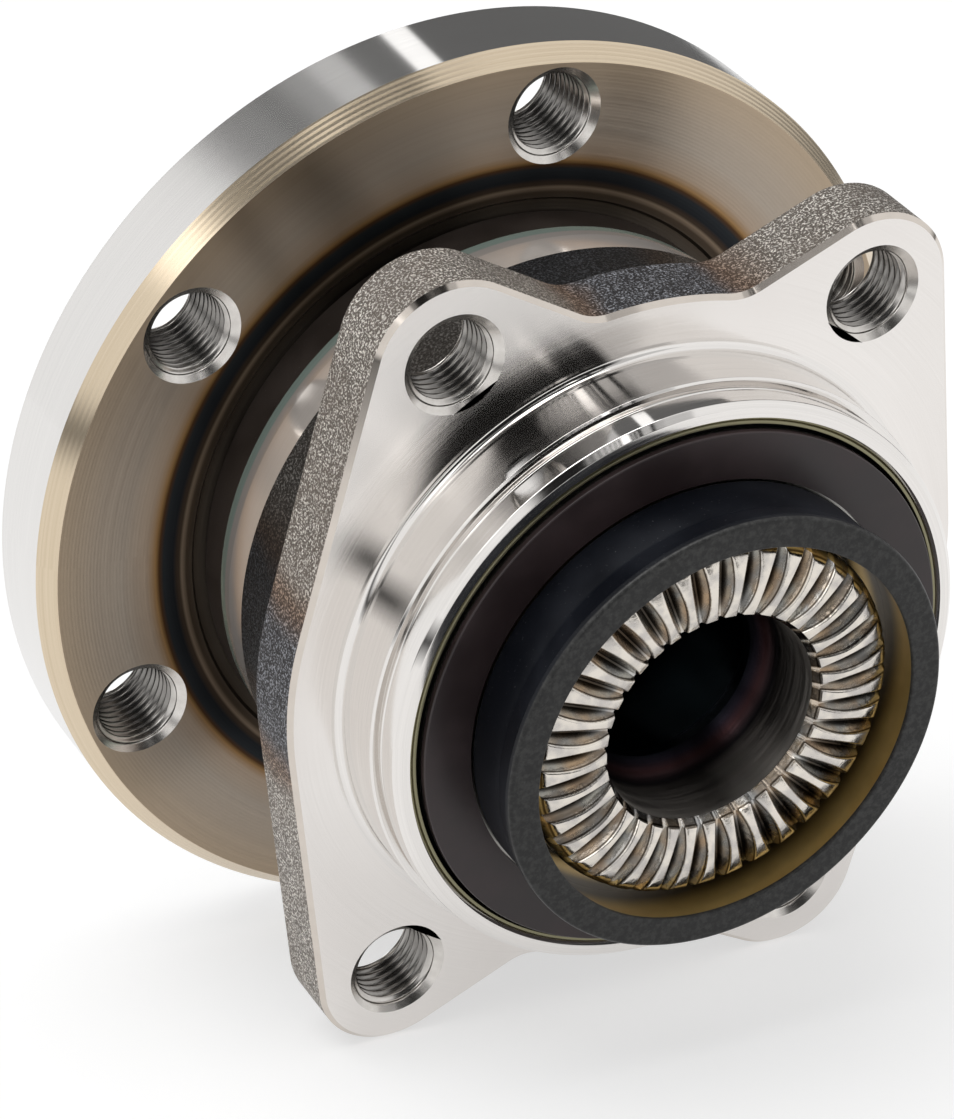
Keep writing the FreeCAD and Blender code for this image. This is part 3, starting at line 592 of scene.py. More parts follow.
def make_hub(materials):
    """Paints: 0 shaft, 1 flange face, 2 chamfer, 3 rim, 4 thread, 5 teeth, 6 bore."""
    skin = Skin()
    angles = teeth(skin, 5)

    def matched(corners, paint):
        """Lathe with the same columns as the teeth."""
        for stretch in rounded_profile(corners):
            rows = []
            facing = []
            for r, y, nr, ny in stretch:
                rows.append([(r * math.cos(a), y, r * math.sin(a)) for a in angles])
                facing.append([(nr * math.cos(a), ny, nr * math.sin(a)) for a in angles])
            skin.grid(rows, facing, paint)

    matched([
        (HEAD_RADIUS, HEAD_EDGE_Y),
        (HEAD_RADIUS, HEAD_BACK_Y),
        (HEAD_BACK_RADIUS, HEAD_BACK_Y),
    ], 0)
    matched([
        (CAVITY_RADIUS, SCREW_SEAT_Y),
        (CAVITY_RADIUS, -6.0, 0.8),
        (THROAT_RADIUS, -8.0, 0.8),
        (THROAT_RADIUS, THROAT_Y, 0.3),
        (FUNNEL_RADIUS, -13.2, 3.0),
        (FUNNEL_RADIUS, FUNNEL_MOUTH_Y),
    ], 6)
    lathe(skin, [
        (HEAD_BACK_RADIUS, HEAD_BACK_Y),
        (SHAFT_RADIUS, HEAD_BACK_Y + 1.0),
        (SHAFT_RADIUS, SHAFT_SHOULDER_Y),
        (32.0, SHAFT_SHOULDER_Y),
        (33.0, SHAFT_SHOULDER_Y + 1.0),
        (33.0, 18.0),
        (35.4, 32.0),
        (COLLAR_RADIUS, 33.5),
        (COLLAR_RADIUS, COLLAR_FACE, 7.0),
        (COLLAR_EDGE - 0.5, COLLAR_FACE),
        (COLLAR_EDGE, FLANGE_FACE),
    ], 1)
    holes = []
    for i in range(WHEEL_HOLES):
        x, z = polar(WHEEL_CIRCLE, WHEEL_PHASE + 360 / WHEEL_HOLES * i)
        holes.append(circle(THREAD_SINK, x, z, HOLE_SEGMENTS))
        threaded_hole(skin, x, z, FLANGE_FACE, FLANGE_BACK, 4)
    face_holes = [circle(COLLAR_EDGE)] + holes
    skin.flat(circle(FLANGE_CHAMFER_INNER), face_holes, FLANGE_FACE, -1, 1)
    back_holes = [circle(WHEEL_FACE_INNER)] + holes
    skin.flat(circle(FLANGE_RADIUS - FLANGE_EDGE), back_holes, FLANGE_BACK, 1, 3)
    lathe(skin, [(FLANGE_CHAMFER_INNER, FLANGE_FACE), (FLANGE_RADIUS, FLANGE_CHAMFER_BACK)], 2)
    lathe(skin, [
        (FLANGE_RADIUS, FLANGE_CHAMFER_BACK),
        (FLANGE_RADIUS, FLANGE_BACK - FLANGE_EDGE, 0.1),
        (FLANGE_RADIUS - FLANGE_EDGE, FLANGE_BACK),
    ], 3)
    lathe(skin, [
        (WHEEL_FACE_INNER, FLANGE_BACK),
        (WHEEL_FACE_INNER - WHEEL_RELIEF, FLANGE_BACK - WHEEL_RELIEF),
        (WHEEL_PILOT_RADIUS, FLANGE_BACK - WHEEL_RELIEF, 0.4),
        (WHEEL_PILOT_RADIUS, WHEEL_PILOT_END - WHEEL_PILOT_CHAMFER, 0.1),
        (WHEEL_PILOT_RADIUS - WHEEL_PILOT_CHAMFER, WHEEL_PILOT_END, 0.1),
        (POCKET_MOUTH, WHEEL_PILOT_END, 0.5),
        (POCKET_MOUTH, 52.0, 2.0),
        (20.0, POCKET_FLOOR_Y, 1.5),
        (SCREW_BORE, POCKET_FLOOR_Y, 0.4),
        (SCREW_BORE, SCREW_SEAT_Y),
    ], 3)
    skin.flat(circle(CAVITY_RADIUS), [circle(SCREW_BORE)], SCREW_SEAT_Y, -1, 6)
    hub = skin.build("hub_fine", materials)
    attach(hub, "hub_body")
    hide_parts("wheel_hub")


def turned_piece(name, corners, material, body, node, wave=None):
    """A closed turned piece that stands for a CAD node."""
    skin = Skin()
    lathe(skin, corners + [corners[0]], 0, wave=wave)
    piece = skin.build(name, [material])
    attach(piece, body)
    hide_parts(node)


class Paint:
    """Builds a material from nodes. Lengths inside are millimetres."""

    def __init__(self, name):
        self.material = bpy.data.materials.new(name)
        self.material.use_nodes = True
        self.tree = self.material.node_tree
        self.tree.nodes.clear()
        self.out = self.add("ShaderNodeOutputMaterial")
        self.shader = self.add("ShaderNodeBsdfPrincipled")
        self.tree.links.new(self.shader.outputs[0], self.out.inputs["Surface"])
        coordinate = self.add("ShaderNodeTexCoord")
        scale = self.add("ShaderNodeVectorMath", operation="SCALE")
        scale.inputs["Scale"].default_value = 1000.0
        self.tree.links.new(coordinate.outputs["Object"], scale.inputs[0])
        self.place = scale.outputs["Vector"]
        split = self.add("ShaderNodeSeparateXYZ")
        self.tree.links.new(self.place, split.inputs[0])
        self.x, self.y, self.z = split.outputs[0], split.outputs[1], split.outputs[2]
        squares = self.math("ADD", self.square(self.x), self.square(self.z))
        self.radius = self.math("SQRT", squares)
        self.angle = self.math("ARCTAN2", self.z, self.x)

    def add(self, kind, **settings):
        node = self.tree.nodes.new(kind)
        for key, value in settings.items():
            setattr(node, key, value)
        return node

    def put(self, socket, value):
        if isinstance(value, bpy.types.NodeSocket):
            self.tree.links.new(value, socket)
        elif isinstance(value, tuple) and len(value) == 3 and socket.type == "RGBA":
            socket.default_value = value + (1.0,)
        else:
            socket.default_value = value

    def math(self, operation, a, b=None):
        node = self.add("ShaderNodeMath", operation=operation)
        self.put(node.inputs[0], a)
        if b is not None:
            self.put(node.inputs[1], b)
        return node.outputs[0]

    def square(self, value):
        return self.math("MULTIPLY", value, value)

    def span(self, value, low, high, start=0.0, end=1.0):
        """Maps value from low..high to start..end, held at the ends, smoothly."""
        node = self.add("ShaderNodeMapRange", interpolation_type="SMOOTHSTEP")
        for key, item in (("Value", value), ("From Min", low), ("From Max", high),
                          ("To Min", start), ("To Max", end)):
            self.put(node.inputs[key], item)
        return node.outputs["Result"]

    def noise(self, scale, detail=2.0, rough=0.5, vector=None):
        """Noise with scale in features per millimetre."""
        node = self.add("ShaderNodeTexNoise")
        self.put(node.inputs["Vector"], vector or self.place)
        node.inputs["Scale"].default_value = scale
        node.inputs["Detail"].default_value = detail
        node.inputs["Roughness"].default_value = rough
        return node.outputs["Fac"]

    def polar_vector(self, around, out, along):
        """Vector of angle, radius and height, scaled, for marks that follow turning."""
        node = self.add("ShaderNodeCombineXYZ")
        self.put(node.inputs[0], self.math("MULTIPLY", self.angle, around))
        self.put(node.inputs[1], self.math("MULTIPLY", self.radius, out))
        self.put(node.inputs[2], self.math("MULTIPLY", self.y, along))
        return node.outputs[0]

    def ramp(self, value, stops):
        """Colour ramp. stops are (position 0..1, colour)."""
        node = self.add("ShaderNodeValToRGB")
        self.put(node.inputs[0], value)
        elements = node.color_ramp.elements
        elements[0].position, elements[1].position = stops[0][0], stops[-1][0]
        elements[0].color = stops[0][1] + (1.0,)
        elements[1].color = stops[-1][1] + (1.0,)
        for position, colour in stops[1:-1]:
            elements.new(position).color = colour + (1.0,)
        return node.outputs["Color"]

    def mix(self, share, a, b, blend="MIX"):
        node = self.add("ShaderNodeMix", data_type="RGBA", blend_type=blend)
        self.put(node.inputs[0], share)
        self.put(node.inputs[6], a)
        self.put(node.inputs[7], b)
        return node.outputs[2]

    def multiply(self, share, a, b):
        return self.mix(share, a, b, "MULTIPLY")

    def bump(self, height, distance, strength=1.0):
        """Bump with height 0..1 and distance in millimetres."""
        node = self.add("ShaderNodeBump")
        node.inputs["Strength"].default_value = strength
        node.inputs["Distance"].default_value = distance * MM
        self.put(node.inputs["Height"], height)
        return node.outputs["Normal"]

    def turned(self, amount):
        """Stretches reflections across the turning marks."""
        tangent = self.add("ShaderNodeTangent", direction_type="RADIAL", axis="Y")
        self.put(self.shader.inputs["Tangent"], tangent.outputs[0])
        self.shader.inputs["Anisotropic"].default_value = amount
        self.shader.inputs["Anisotropic Rotation"].default_value = 0.25

    def set(self, **values):
        names = {"color": "Base Color", "metal": "Metallic", "rough": "Roughness",
                 "normal": "Normal", "spec": "Specular IOR Level"}
        for key, value in values.items():
            self.put(self.shader.inputs[names[key]], value)


def grooves(p, coordinate, period):
    """Saw of fine turning grooves along a coordinate, 0..1."""
    return p.math("PINGPONG", p.math("DIVIDE", coordinate, period), 0.5)


def forged_skin():
    """Shot blasted forging scale with heat colours at the waist, and painted shade on the
    barrel and the rear of the plate.
    """
    p = Paint("forged_skin")
    fine = p.noise(2.9, 3.0, 0.6)
    coarse = p.noise(0.12, 2.0)
    grain = p.span(fine, 0.49, 0.63)
    base = p.mix(grain, (0.17, 0.148, 0.128), (1.0, 0.95, 0.88))
    base = p.mix(p.span(coarse, 0.35, 0.65, 0.0, 0.3), base, (0.22, 0.18, 0.15))
    near_axis = p.math("MINIMUM", p.math("ABSOLUTE", p.x), p.math("ABSOLUTE", p.z))
    waist = p.math("ADD", near_axis, p.math("MULTIPLY", coarse, 7.0))
    brown = p.span(waist, 15.5, 23.5, 0.9, 0.0)
    base = p.multiply(brown, base, (0.50, 0.33, 0.23))
    blue = p.span(waist, 11.5, 18.0, 0.9, 0.0)
    base = p.mix(blue, base, p.mix(grain, (0.035, 0.037, 0.042), (0.34, 0.37, 0.42)))
    # Painted shade: darkens the barrel inside a radius of about 54.5 mm.
    barrel = p.span(p.radius, 54.5, 56.5, 0.45, 1.0)
    base = p.multiply(1.0, base, barrel)
    # Painted shade: darkens the rear edge and rear face of the plate and all behind them.
    back = p.span(p.y, PLATE_THICKNESS - 0.7, PLATE_THICKNESS - 0.1, 1.0, 0.4)
    base = p.multiply(1.0, base, back)
    p.set(color=base, metal=0.75, rough=p.span(fine, 0.3, 0.7, 0.55, 0.38))
    p.set(normal=p.bump(p.noise(2.2, 3.0, 0.6), 0.6, 1.0))
    return p.material


def turned_face():
    """Turned face of the knuckle plate, bright near the spigot and satin further out."""
    p = Paint("turned_face")
    streak = p.noise(1.0, 3.0, 0.6, vector=p.polar_vector(1.5, 3.0, 1.0))
    cloud = p.noise(0.04, 2.0)
    base = p.mix(streak, (0.75, 0.72, 0.69), (0.87, 0.84, 0.815))
    base = p.mix(p.span(cloud, 0.3, 0.7, 0.0, 0.4), base, (0.76, 0.72, 0.69))
    satin = p.span(p.radius, 50.5, 59.0, 0.07, 0.19)
    rough = p.math("ADD", satin, p.span(streak, 0.3, 0.7, -0.02, 0.02))
    p.set(color=base, metal=1.0, rough=rough)
    p.set(normal=p.bump(grooves(p, p.radius, 0.3), 0.001, 0.5))
    p.turned(1.0)
    return p.material


def ground_spigot():
    """Fine turned and polished spigot."""
    p = Paint("ground_spigot")
    streak = p.noise(1.0, 3.0, 0.6, vector=p.polar_vector(1.2, 4.0, 6.0))
    base = p.mix(streak, (0.69, 0.665, 0.64), (0.86, 0.835, 0.81))
    p.set(color=base, metal=1.0, rough=p.span(streak, 0.3, 0.7, 0.05, 0.09))
    p.set(normal=p.bump(grooves(p, p.math("ADD", p.y, p.radius), 0.22), 0.001, 0.4))
    p.turned(0.8)
    return p.material


def thread_metal(name, near, far):
    """Cut threads between two faces, with painted shade that darkens them from the mouths
    inwards.
    """
    p = Paint(name)
    cloud = p.noise(0.5, 2.0)
    base = p.mix(cloud, (0.52, 0.49, 0.46), (0.78, 0.755, 0.72))
    from_middle = p.math("ABSOLUTE", p.math("SUBTRACT", p.y, (near + far) / 2))
    depth = p.math("SUBTRACT", (far - near) / 2, from_middle)
    # Painted shade: darker with depth into the hole.
    base = p.multiply(1.0, base, p.span(depth, 0.8, 3.5, 1.0, 0.42))
    p.set(color=base, metal=1.0, rough=0.22)
    return p.material


def barrel_ground():
    """Ground barrel with a pinkish mirror finish."""
    p = Paint("barrel_ground")
    streak = p.noise(1.0, 2.0, 0.5, vector=p.polar_vector(1.0, 1.0, 5.0))
    base = p.mix(streak, (0.84, 0.77, 0.71), (0.95, 0.88, 0.82))
    p.set(color=base, metal=0.6, rough=0.12)
    return p.material


def barrel_teal():
    """End of the barrel: ground, then tinted teal by heat."""
    p = Paint("barrel_teal")
    streak = p.noise(1.0, 2.0, 0.5, vector=p.polar_vector(1.5, 1.0, 4.0))
    teal = p.mix(streak, (0.46, 0.62, 0.54), (0.70, 0.84, 0.76))
    base = p.mix(p.span(p.y, 38.0, 38.5), (0.88, 0.81, 0.75), teal)
    p.set(color=base, metal=0.65, rough=0.14)
    return p.material


def flange_face():
    """Turned flange face with concentric marks and heat colours round the barrel."""
    p = Paint("flange_face")
    streak = p.noise(1.0, 3.0, 0.6, vector=p.polar_vector(0.6, 2.4, 1.0))
    heat = p.ramp(p.span(p.radius, 46.0, 78.0), [
        (0.0, (0.10, 0.085, 0.07)),
        (0.10, (0.07, 0.05, 0.035)),
        (0.125, (0.24, 0.18, 0.13)),
        (0.14, (0.06, 0.042, 0.03)),
        (0.155, (0.05, 0.035, 0.026)),
        (0.175, (0.02, 0.022, 0.026)),
        (0.24, (0.028, 0.032, 0.036)),
        (0.27, (0.09, 0.045, 0.02)),
        (0.295, (0.34, 0.20, 0.085)),
        (0.36, (0.46, 0.36, 0.275)),
        (0.55, (0.46, 0.395, 0.33)),
        (0.75, (0.46, 0.385, 0.31)),
        (1.0, (0.48, 0.375, 0.265)),
    ])
    base = p.multiply(0.5, heat, p.mix(streak, (0.62, 0.60, 0.58), (1.0, 1.0, 1.0)))
    p.set(color=base, metal=1.0, rough=p.span(streak, 0.3, 0.7, 0.30, 0.37))
    p.set(normal=p.bump(grooves(p, p.radius, 0.55), 0.014, 1.0))
    p.turned(1.0)
    return p.material


def flange_chamfer():
    """Cream coloured turned chamfer of the flange."""
    p = Paint("flange_chamfer")
    streak = p.noise(1.0, 3.0, 0.6, vector=p.polar_vector(0.8, 3.0, 3.0))
    base = p.mix(streak, (0.58, 0.47, 0.33), (0.76, 0.65, 0.50))
    p.set(color=base, metal=1.0, rough=0.22)
    p.set(normal=p.bump(grooves(p, p.radius, 0.55), 0.03, 1.0))
    p.turned(0.8)
    return p.material


def flange_rim():
    """Bright turned rim and wheel side of the flange."""
    p = Paint("flange_rim")
    streak = p.noise(1.0, 3.0, 0.6, vector=p.polar_vector(0.8, 2.0, 4.0))
    base = p.mix(streak, (0.70, 0.685, 0.67), (0.82, 0.805, 0.785))
    p.set(color=base, metal=1.0, rough=0.12)
    p.set(normal=p.bump(grooves(p, p.math("ADD", p.y, p.radius), 0.25), 0.0005, 0.4))
    p.turned(1.0)
    return p.material


def tooth_metal():
    """Formed teeth with painted light and shade across each groove: bright lands, a painted
    shadow line beside them, a painted highlight strip on the flanks and painted shade in the
    roots.
    """
    p = Paint("tooth_metal")
    cloud = p.noise(0.35, 2.0)

    def crown_drop(ahead, reach, drop):
        share = p.math("MAXIMUM", p.math("DIVIDE", ahead, reach), 0.0)
        return p.math("MULTIPLY", p.square(share), drop)

    outward = p.math("SUBTRACT", p.radius, CROWN_RADIUS)
    inward = p.math("SUBTRACT", CROWN_RADIUS, p.radius)
    lands = p.math(
        "ADD",
        crown_drop(outward, TEETH_OUTER - CROWN_RADIUS, CROWN_OUTER_DROP),
        crown_drop(inward, CROWN_RADIUS - TEETH_INNER, CROWN_INNER_DROP),
    )
    depth = p.math("SUBTRACT", p.math("SUBTRACT", p.y, CROWN_Y), lands)
    # Painted light and shade by depth below the lands: a painted shadow line at the land edge,
    # a painted highlight strip on the flanks, painted shade in the roots.
    shade = p.ramp(p.span(depth, 0.0, 2.3), [
        (0.0, (1.0, 1.0, 1.0)),
        (0.03, (0.95, 0.95, 0.95)),
        (0.05, (0.14, 0.12, 0.10)),
        (0.10, (0.18, 0.16, 0.14)),
        (0.16, (0.92, 0.90, 0.88)),
        (0.55, (0.80, 0.79, 0.78)),
        (0.80, (0.30, 0.29, 0.28)),
        (1.0, (0.07, 0.06, 0.05)),
    ])
    bright = p.mix(p.span(cloud, 0.35, 0.65), (0.74, 0.69, 0.62), (0.56, 0.53, 0.50))
    straw_or_blue = p.span(p.noise(0.2, 2.0), 0.4, 0.6)
    tint = p.mix(straw_or_blue, (0.97, 0.89, 0.80), (0.88, 0.94, 1.0))
    bright = p.multiply(p.span(depth, 0.1, 0.5), bright, tint)
    base = p.multiply(1.0, bright, shade)
    p.set(color=base, metal=1.0, rough=p.span(cloud, 0.3, 0.7, 0.16, 0.30))
    p.set(normal=p.bump(p.noise(1.2, 3.0), 0.06, 0.8))
    return p.material


def bore_metal():
    """Forged bore: grey funnel, reddish hardened ring, and painted shade that darkens it deeper
    in, down to a nearly black cavity.
    """
    p = Paint("bore_metal")
    cloud = p.noise(1.0, 3.0, 0.6, vector=p.polar_vector(1.2, 0.3, 2.4))
    # Painted shade: darker the deeper into the bore, with the reddish ring along the way.
    shade = p.ramp(p.span(p.y, -24.0, -4.0), [
        (0.0, (0.55, 0.52, 0.48)),
        (0.06, (0.40, 0.375, 0.345)),
        (0.20, (0.26, 0.243, 0.225)),
        (0.40, (0.17, 0.155, 0.143)),
        (0.52, (0.035, 0.032, 0.036)),
        (0.66, (0.055, 0.026, 0.028)),
        (0.74, (0.022, 0.018, 0.026)),
        (0.82, (0.006, 0.009, 0.012)),
        (1.0, (0.005, 0.010, 0.013)),
    ])
    base = p.multiply(0.6, shade, p.mix(cloud, (0.55, 0.53, 0.52), (1.0, 1.0, 1.0)))
    p.set(color=base, metal=1.0, rough=p.span(cloud, 0.3, 0.7, 0.28, 0.40))
    p.set(normal=p.bump(p.noise(0.5, 3.0), 0.08, 0.5))
    p.turned(0.9)
    return p.material


def plain_steel(name, colour, rough):
    p = Paint(name)
    cloud = p.noise(0.3, 2.0)
    dark = tuple(c * 0.85 for c in colour)
    p.set(color=p.mix(cloud, dark, colour), metal=1.0, rough=rough)
    return p.material


def rubber(name, colour, rough, speck=0.0, rim=None, gloss=0.45):
    """Moulded rubber with small specks, and dust where y is below rim."""
    p = Paint(name)
    cloud = p.noise(0.08, 3.0)
    lighter = tuple(min(1.0, c * 1.6 + 0.004) for c in colour)
    base = p.mix(p.span(cloud, 0.35, 0.7), colour, lighter)
    if rim is not None:
        grain = p.span(p.noise(1.1, 3.0, 0.7), 0.38, 0.68)
        dust = p.mix(grain, (0.036, 0.036, 0.036), (0.075, 0.075, 0.073))
        base = p.mix(p.span(p.y, rim - 0.3, rim, 1.0, 0.0), base, dust)
    if speck:
        dots = p.span(p.noise(3.2, 1.0), 0.73, 0.78)
        base = p.mix(p.math("MULTIPLY", dots, speck), base, (0.16, 0.16, 0.17))
    patchy = p.span(cloud, 0.3, 0.7, rough - 0.05, rough + 0.06)
    p.set(color=base, rough=patchy, spec=gloss)
    p.set(normal=p.bump(p.noise(2.2, 2.0), 0.012, 0.5))
    return p.material


def carrier_gold():
    """Yellow passivated sheet, in shadow towards its root."""
    p = Paint("carrier_gold")
    cloud = p.noise(0.2, 3.0)
    gold = p.mix(cloud, (0.60, 0.40, 0.13), (0.90, 0.65, 0.25))
    base = p.multiply(1.0, gold, p.span(p.y, -24.4, -20.4, 1.0, 0.10))
    p.set(color=base, metal=0.6, rough=0.34)
    p.set(normal=p.bump(p.noise(0.9, 2.0), 0.015, 0.5))
    return p.material


def cage_plastic():
    p = Paint("cage_plastic")
    p.set(color=(0.05, 0.045, 0.035), rough=0.5)
    p.set(normal=p.bump(p.noise(1.2, 2.0), 0.02, 0.4))
    return p.material


def dress_inner_nodes():
    """Finishes of the CAD nodes that keep their own mesh."""
    bearing = plain_steel("bearing_mirror", (0.66, 0.65, 0.64), 0.12)
    pressed = plain_steel("pressed_sheet", (0.50, 0.49, 0.46), 0.28)
    plastic = cage_plastic()
    lips = rubber("lip_rubber", (0.012, 0.012, 0.013), 0.5)
    finish = {
        "inner_ring": bearing,
        "slinger": pressed,
        "outboard_seal_case": pressed,
        "inboard_seal_lips": lips,
    }
    for name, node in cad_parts.items():
        material = finish.get(name)
        if "ball" in name:
            material = bearing
        if "cage" in name:
            material = plastic
        if material:
            node.data.materials.clear()
            node.data.materials.append(material)


def make_seals():
    """Seal, sleeve and encoder pieces that show."""
    olive = plain_steel("seal_olive", (0.25, 0.235, 0.15), 0.3)
    turned_piece("seal_case_fine", [
        (SEAL_CASE_INNER, SEAL_CASE_MOUTH_Y + 5.4),
        (SEAL_CASE_LIP, SEAL_CASE_MOUTH_Y + 5.4, 0.3),
        (SEAL_CASE_LIP, SEAL_CASE_MOUTH_Y, 0.12),
        (SEAL_BORE - 0.35, SEAL_CASE_MOUTH_Y, 0.2),
        (SEAL_BORE, SEAL_CASE_MOUTH_Y + 0.5),
        (SEAL_BORE, SEAL_CASE_MOUTH_Y + 6.2, 0.5),
        (SEAL_CASE_INNER, SEAL_CASE_MOUTH_Y + 6.2),
    ], olive, "outer_ring_body", "inboard_seal_case")
    encoder = rubber("encoder_brown", (0.030, 0.019, 0.020), 0.36)
    turned_piece("encoder_fine", [
        (ENCODER_INNER, ENCODER_FACE_Y),
        (ENCODER_OUTER, ENCODER_FACE_Y, 0.25),
        (ENCODER_OUTER, ENCODER_BACK_Y),
        (ENCODER_INNER, ENCODER_BACK_Y),
    ], encoder, "hub_body", "encoder_ring")
    gold = carrier_gold()
    turned_piece("carrier_fine", [
        (CARRIER_INNER, CARRIER_END_Y, 0.1),
        (CARRIER_OUTER, CARRIER_END_Y),
        (CARRIER_OUTER, ENCODER_BACK_Y),
        (CARRIER_INNER, ENCODER_BACK_Y),
    ], gold, "hub_body", "sleeve_carrier")
    sleeve = rubber("sleeve_black", (0.0035, 0.0045, 0.0075), 0.36, 0.5, SLEEVE_DUST_Y, 0.2)

    def ripple(y, angle):
        share = max(0.0, min(1.0, (RIPPLE_START_Y - y) / RIPPLE_LENGTH))
        wave = 1 + math.sin(3 * angle + 0.6) * 0.6 + math.sin(7 * angle) * 0.4
        return -RIPPLE_HEIGHT * share * wave

    turned_piece("sleeve_fine", [
        (CARRIER_INNER, CARRIER_END_Y),
        (SLEEVE_RIM_INNER, SLEEVE_END_Y + 0.7, 0.3),
        (SLEEVE_RIM_INNER, SLEEVE_END_Y, 0.25),
        (SLEEVE_RIM_OUTER, SLEEVE_END_Y, 0.6),
        (SLEEVE_RIM_OUTER, SLEEVE_END_Y + 1.4, 1.0),
        (SLEEVE_RADIUS, SLEEVE_END_Y + 5.0, 3.0),
        (SLEEVE_RADIUS, ENCODER_FACE_Y, 0.3),
        (CARRIER_OUTER, ENCODER_FACE_Y),
        (CARRIER_OUTER, CARRIER_END_Y),
    ], sleeve, "hub_body", "sealing_sleeve", ripple)
    lips = rubber("fender_rubber", (0.022, 0.016, 0.013), 0.42, 0.3)
    turned_piece("fender_fine", [
        (44.0, 34.7),
        (44.0, BARREL_END),
        (FENDER_RADIUS, BARREL_END),
        (FENDER_RADIUS, FENDER_END_Y, 0.3),
        (FENDER_RADIUS - 1.1, FENDER_END_Y, 0.2),
        (47.0, 41.3, 0.6),
        (43.2, 41.3),
        (43.2, 35.5),
        (39.2, 35.5),
        (37.1, 37.1),
        (36.3, 36.3),
        (38.4, 34.7),
    ], lips, "outer_ring_body", "outboard_seal_lips")


def seen_strength(tree, socket, unseen, seen):
    """Gives a strength to what the camera, mirrors and glass see, and another to the rest."""
    path = tree.nodes.new("ShaderNodeLightPath")
    first = tree.nodes.new("ShaderNodeMath")
    second = tree.nodes.new("ShaderNodeMath")
    first.operation = second.operation = "ADD"
    second.use_clamp = True
    tree.links.new(path.outputs["Is Camera Ray"], first.inputs[0])
    tree.links.new(path.outputs["Is Glossy Ray"], first.inputs[1])
    tree.links.new(first.outputs[0], second.inputs[0])
    tree.links.new(path.outputs["Is Transmission Ray"], second.inputs[1])
    strength = tree.nodes.new("ShaderNodeMapRange")
    strength.inputs["To Min"].default_value = unseen
    strength.inputs["To Max"].default_value = seen
    tree.links.new(second.outputs[0], strength.inputs["Value"])
    tree.links.new(strength.outputs["Result"], socket)


def make_floor():
    """White floor that touches the flange rim and the two lower ears."""
    drop = FLANGE_RADIUS - EAR_Z - EAR_RADIUS
    slope = math.atan2(drop, FLANGE_CHAMFER_BACK - FRONT_CHAMFER)
    h = FLOOR_HALF
    mesh = bpy.data.meshes.new("floor")
    mesh.from_pydata([(-h, -h, 0), (h, -h, 0), (h, h, 0), (-h, h, 0)], [], [(0, 1, 2, 3)])
    floor = bpy.data.objects.new("floor", mesh)
    bpy.context.scene.collection.objects.link(floor)
    foot = Matrix.Translation((0, FRONT_CHAMFER * MM, -(EAR_Z + EAR_RADIUS) * MM))
    floor.matrix_world = foot @ Matrix.Rotation(-slope, 4, "X")
    material = bpy.data.materials.new("floor_white")
    material.use_nodes = True
    tree = material.node_tree
    tree.nodes.clear()
    out = tree.nodes.new("ShaderNodeOutputMaterial")
    diffuse = tree.nodes.new("ShaderNodeBsdfDiffuse")
    diffuse.inputs["Color"].default_value = (FLOOR_COLOUR, FLOOR_COLOUR, FLOOR_COLOUR, 1)
    glow = tree.nodes.new("ShaderNodeEmission")
    glow.inputs["Color"].default_value = (1, 1, 1, 1)
    seen_strength(tree, glow.inputs["Strength"], 0.0, FLOOR_GLOW)
    both = tree.nodes.new("ShaderNodeAddShader")
    tree.links.new(diffuse.outputs[0], both.inputs[0])
    tree.links.new(glow.outputs[0], both.inputs[1])
    tree.links.new(both.outputs[0], out.inputs["Surface"])
    mesh.materials.append(material)


def card(name, distance, azimuths, elevations, shade, side_fade, end_fade):
    """Curved card with soft edges that shows only in reflections.

    Azimuths run from +Y towards +X and elevations upwards, in degrees.
    """
    steps = CARD_STEPS
    points = []
    fades = []
    for i in range(steps + 1):
        for j in range(steps + 1):
            a = math.radians(azimuths[0] + (azimuths[1] - azimuths[0]) * i / steps)
            e = math.radians(elevations[0] + (elevations[1] - elevations[0]) * j / steps)
            level = distance * math.cos(e)
            points.append((level * math.sin(a), level * math.cos(a), distance * math.sin(e)))
            across = min(1.0, min(i, steps - i) / steps / side_fade)
            along = min(1.0, min(j, steps - j) / steps / end_fade)
            fades.append(across * along)
    faces = []
    for i in range(steps):
        for j in range(steps):
            k = i * (steps + 1) + j
            faces.append((k, k + 1, k + steps + 2, k + steps + 1))
    mesh = bpy.data.meshes.new(name)
    mesh.from_pydata(points, [], faces)
    mesh.attributes.new("fade", "FLOAT", "POINT").data.foreach_set("value", fades)
    obj = bpy.data.objects.new(name, mesh)
    bpy.context.scene.collection.objects.link(obj)
    material = bpy.data.materials.new(name)
    material.use_nodes = True
    tree = material.node_tree
    tree.nodes.clear()
    out = tree.nodes.new("ShaderNodeOutputMaterial")
    glow = tree.nodes.new("ShaderNodeEmission")
    glow.inputs["Color"].default_value = (shade, shade, shade, 1)
    clear = tree.nodes.new("ShaderNodeBsdfTransparent")
    fade = tree.nodes.new("ShaderNodeAttribute")
    fade.attribute_name = "fade"
    mixed = tree.nodes.new("ShaderNodeMixShader")
    tree.links.new(fade.outputs["Fac"], mixed.inputs[0])
    tree.links.new(clear.outputs[0], mixed.inputs[1])
    tree.links.new(glow.outputs[0], mixed.inputs[2])
    tree.links.new(mixed.outputs[0], out.inputs["Surface"])
    mesh.materials.append(material)
    obj.visible_camera = False
    obj.visible_diffuse = False
    obj.visible_shadow = False


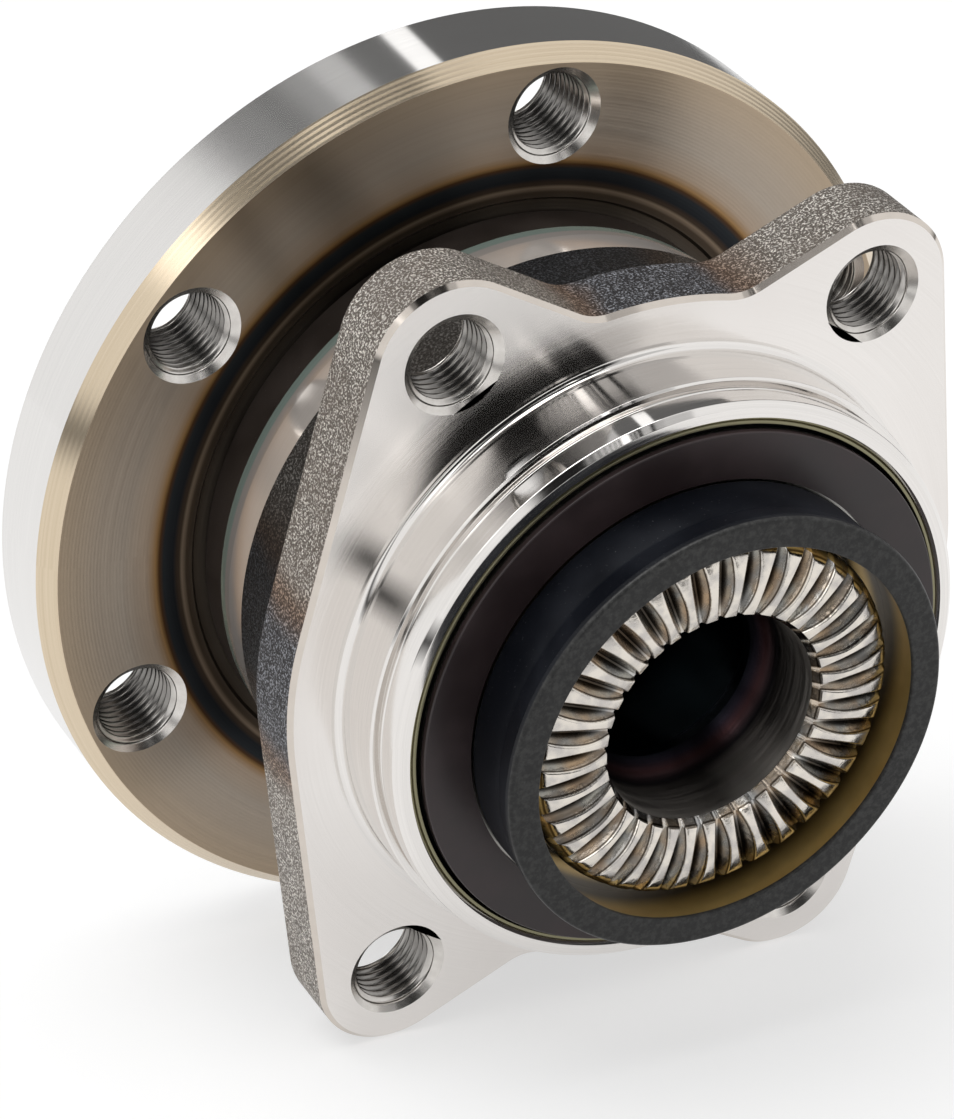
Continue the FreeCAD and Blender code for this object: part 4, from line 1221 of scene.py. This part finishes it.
def make_world():
    """White studio: camera, mirrors and glass see white, matt surfaces less of it."""
    world = bpy.data.worlds.new("studio")
    bpy.context.scene.world = world
    world.use_nodes = True
    tree = world.node_tree
    tree.nodes.clear()
    out = tree.nodes.new("ShaderNodeOutputWorld")
    back = tree.nodes.new("ShaderNodeBackground")
    back.inputs["Color"].default_value = (1, 1, 1, 1)
    seen_strength(tree, back.inputs["Strength"], WORLD_LIGHT, 1.0)
    tree.links.new(back.outputs[0], out.inputs["Surface"])


def make_camera():
    """Camera found from the photo's ellipses."""
    camera = bpy.data.cameras.new("camera")
    camera.lens = CAMERA_LENS
    camera.sensor_width = CAMERA_SENSOR
    camera.clip_end = 10.0
    obj = bpy.data.objects.new("camera", camera)
    bpy.context.scene.collection.objects.link(obj)
    right = Vector(CAMERA_RIGHT)
    back = right.cross(Vector(CAMERA_UP)).normalized()
    up = back.cross(right).normalized()
    right = right.normalized()
    place = Vector(CAMERA_PLACE)
    obj.matrix_world = Matrix((
        (right.x, up.x, back.x, place.x),
        (right.y, up.y, back.y, place.y),
        (right.z, up.z, back.z, place.z),
        (0, 0, 0, 1),
    ))
    bpy.context.scene.camera = obj


def make_lights():
    """One wide soft sky lamp, and the cards that the metal reflects."""
    sun = bpy.data.lights.new("sky", "SUN")
    sun.energy = SKY_STRENGTH
    sun.angle = math.radians(SKY_SPREAD)
    sky = bpy.data.objects.new("sky", sun)
    bpy.context.scene.collection.objects.link(sky)
    sky.location = SKY_PLACE
    direction = Vector(SKY_TARGET) - sky.location
    sky.rotation_euler = direction.to_track_quat("-Z", "Y").to_euler()
    for row in CARDS:
        card(*row)


make_outer_ring([
    forged_skin(),
    turned_face(),
    ground_spigot(),
    thread_metal("ear_thread", 0.0, PLATE_THICKNESS),
    barrel_ground(),
    barrel_teal(),
    plain_steel("edge_steel", (0.68, 0.62, 0.56), 0.10),
])
make_hub([
    plain_steel("shaft_steel", (0.45, 0.43, 0.41), 0.3),
    flange_face(),
    flange_chamfer(),
    flange_rim(),
    thread_metal("wheel_thread", FLANGE_FACE, FLANGE_BACK),
    tooth_metal(),
    bore_metal(),
])
make_seals()
dress_inner_nodes()
make_floor()
make_world()
make_camera()
make_lights()
bpy.context.scene.view_settings.view_transform = "Standard"
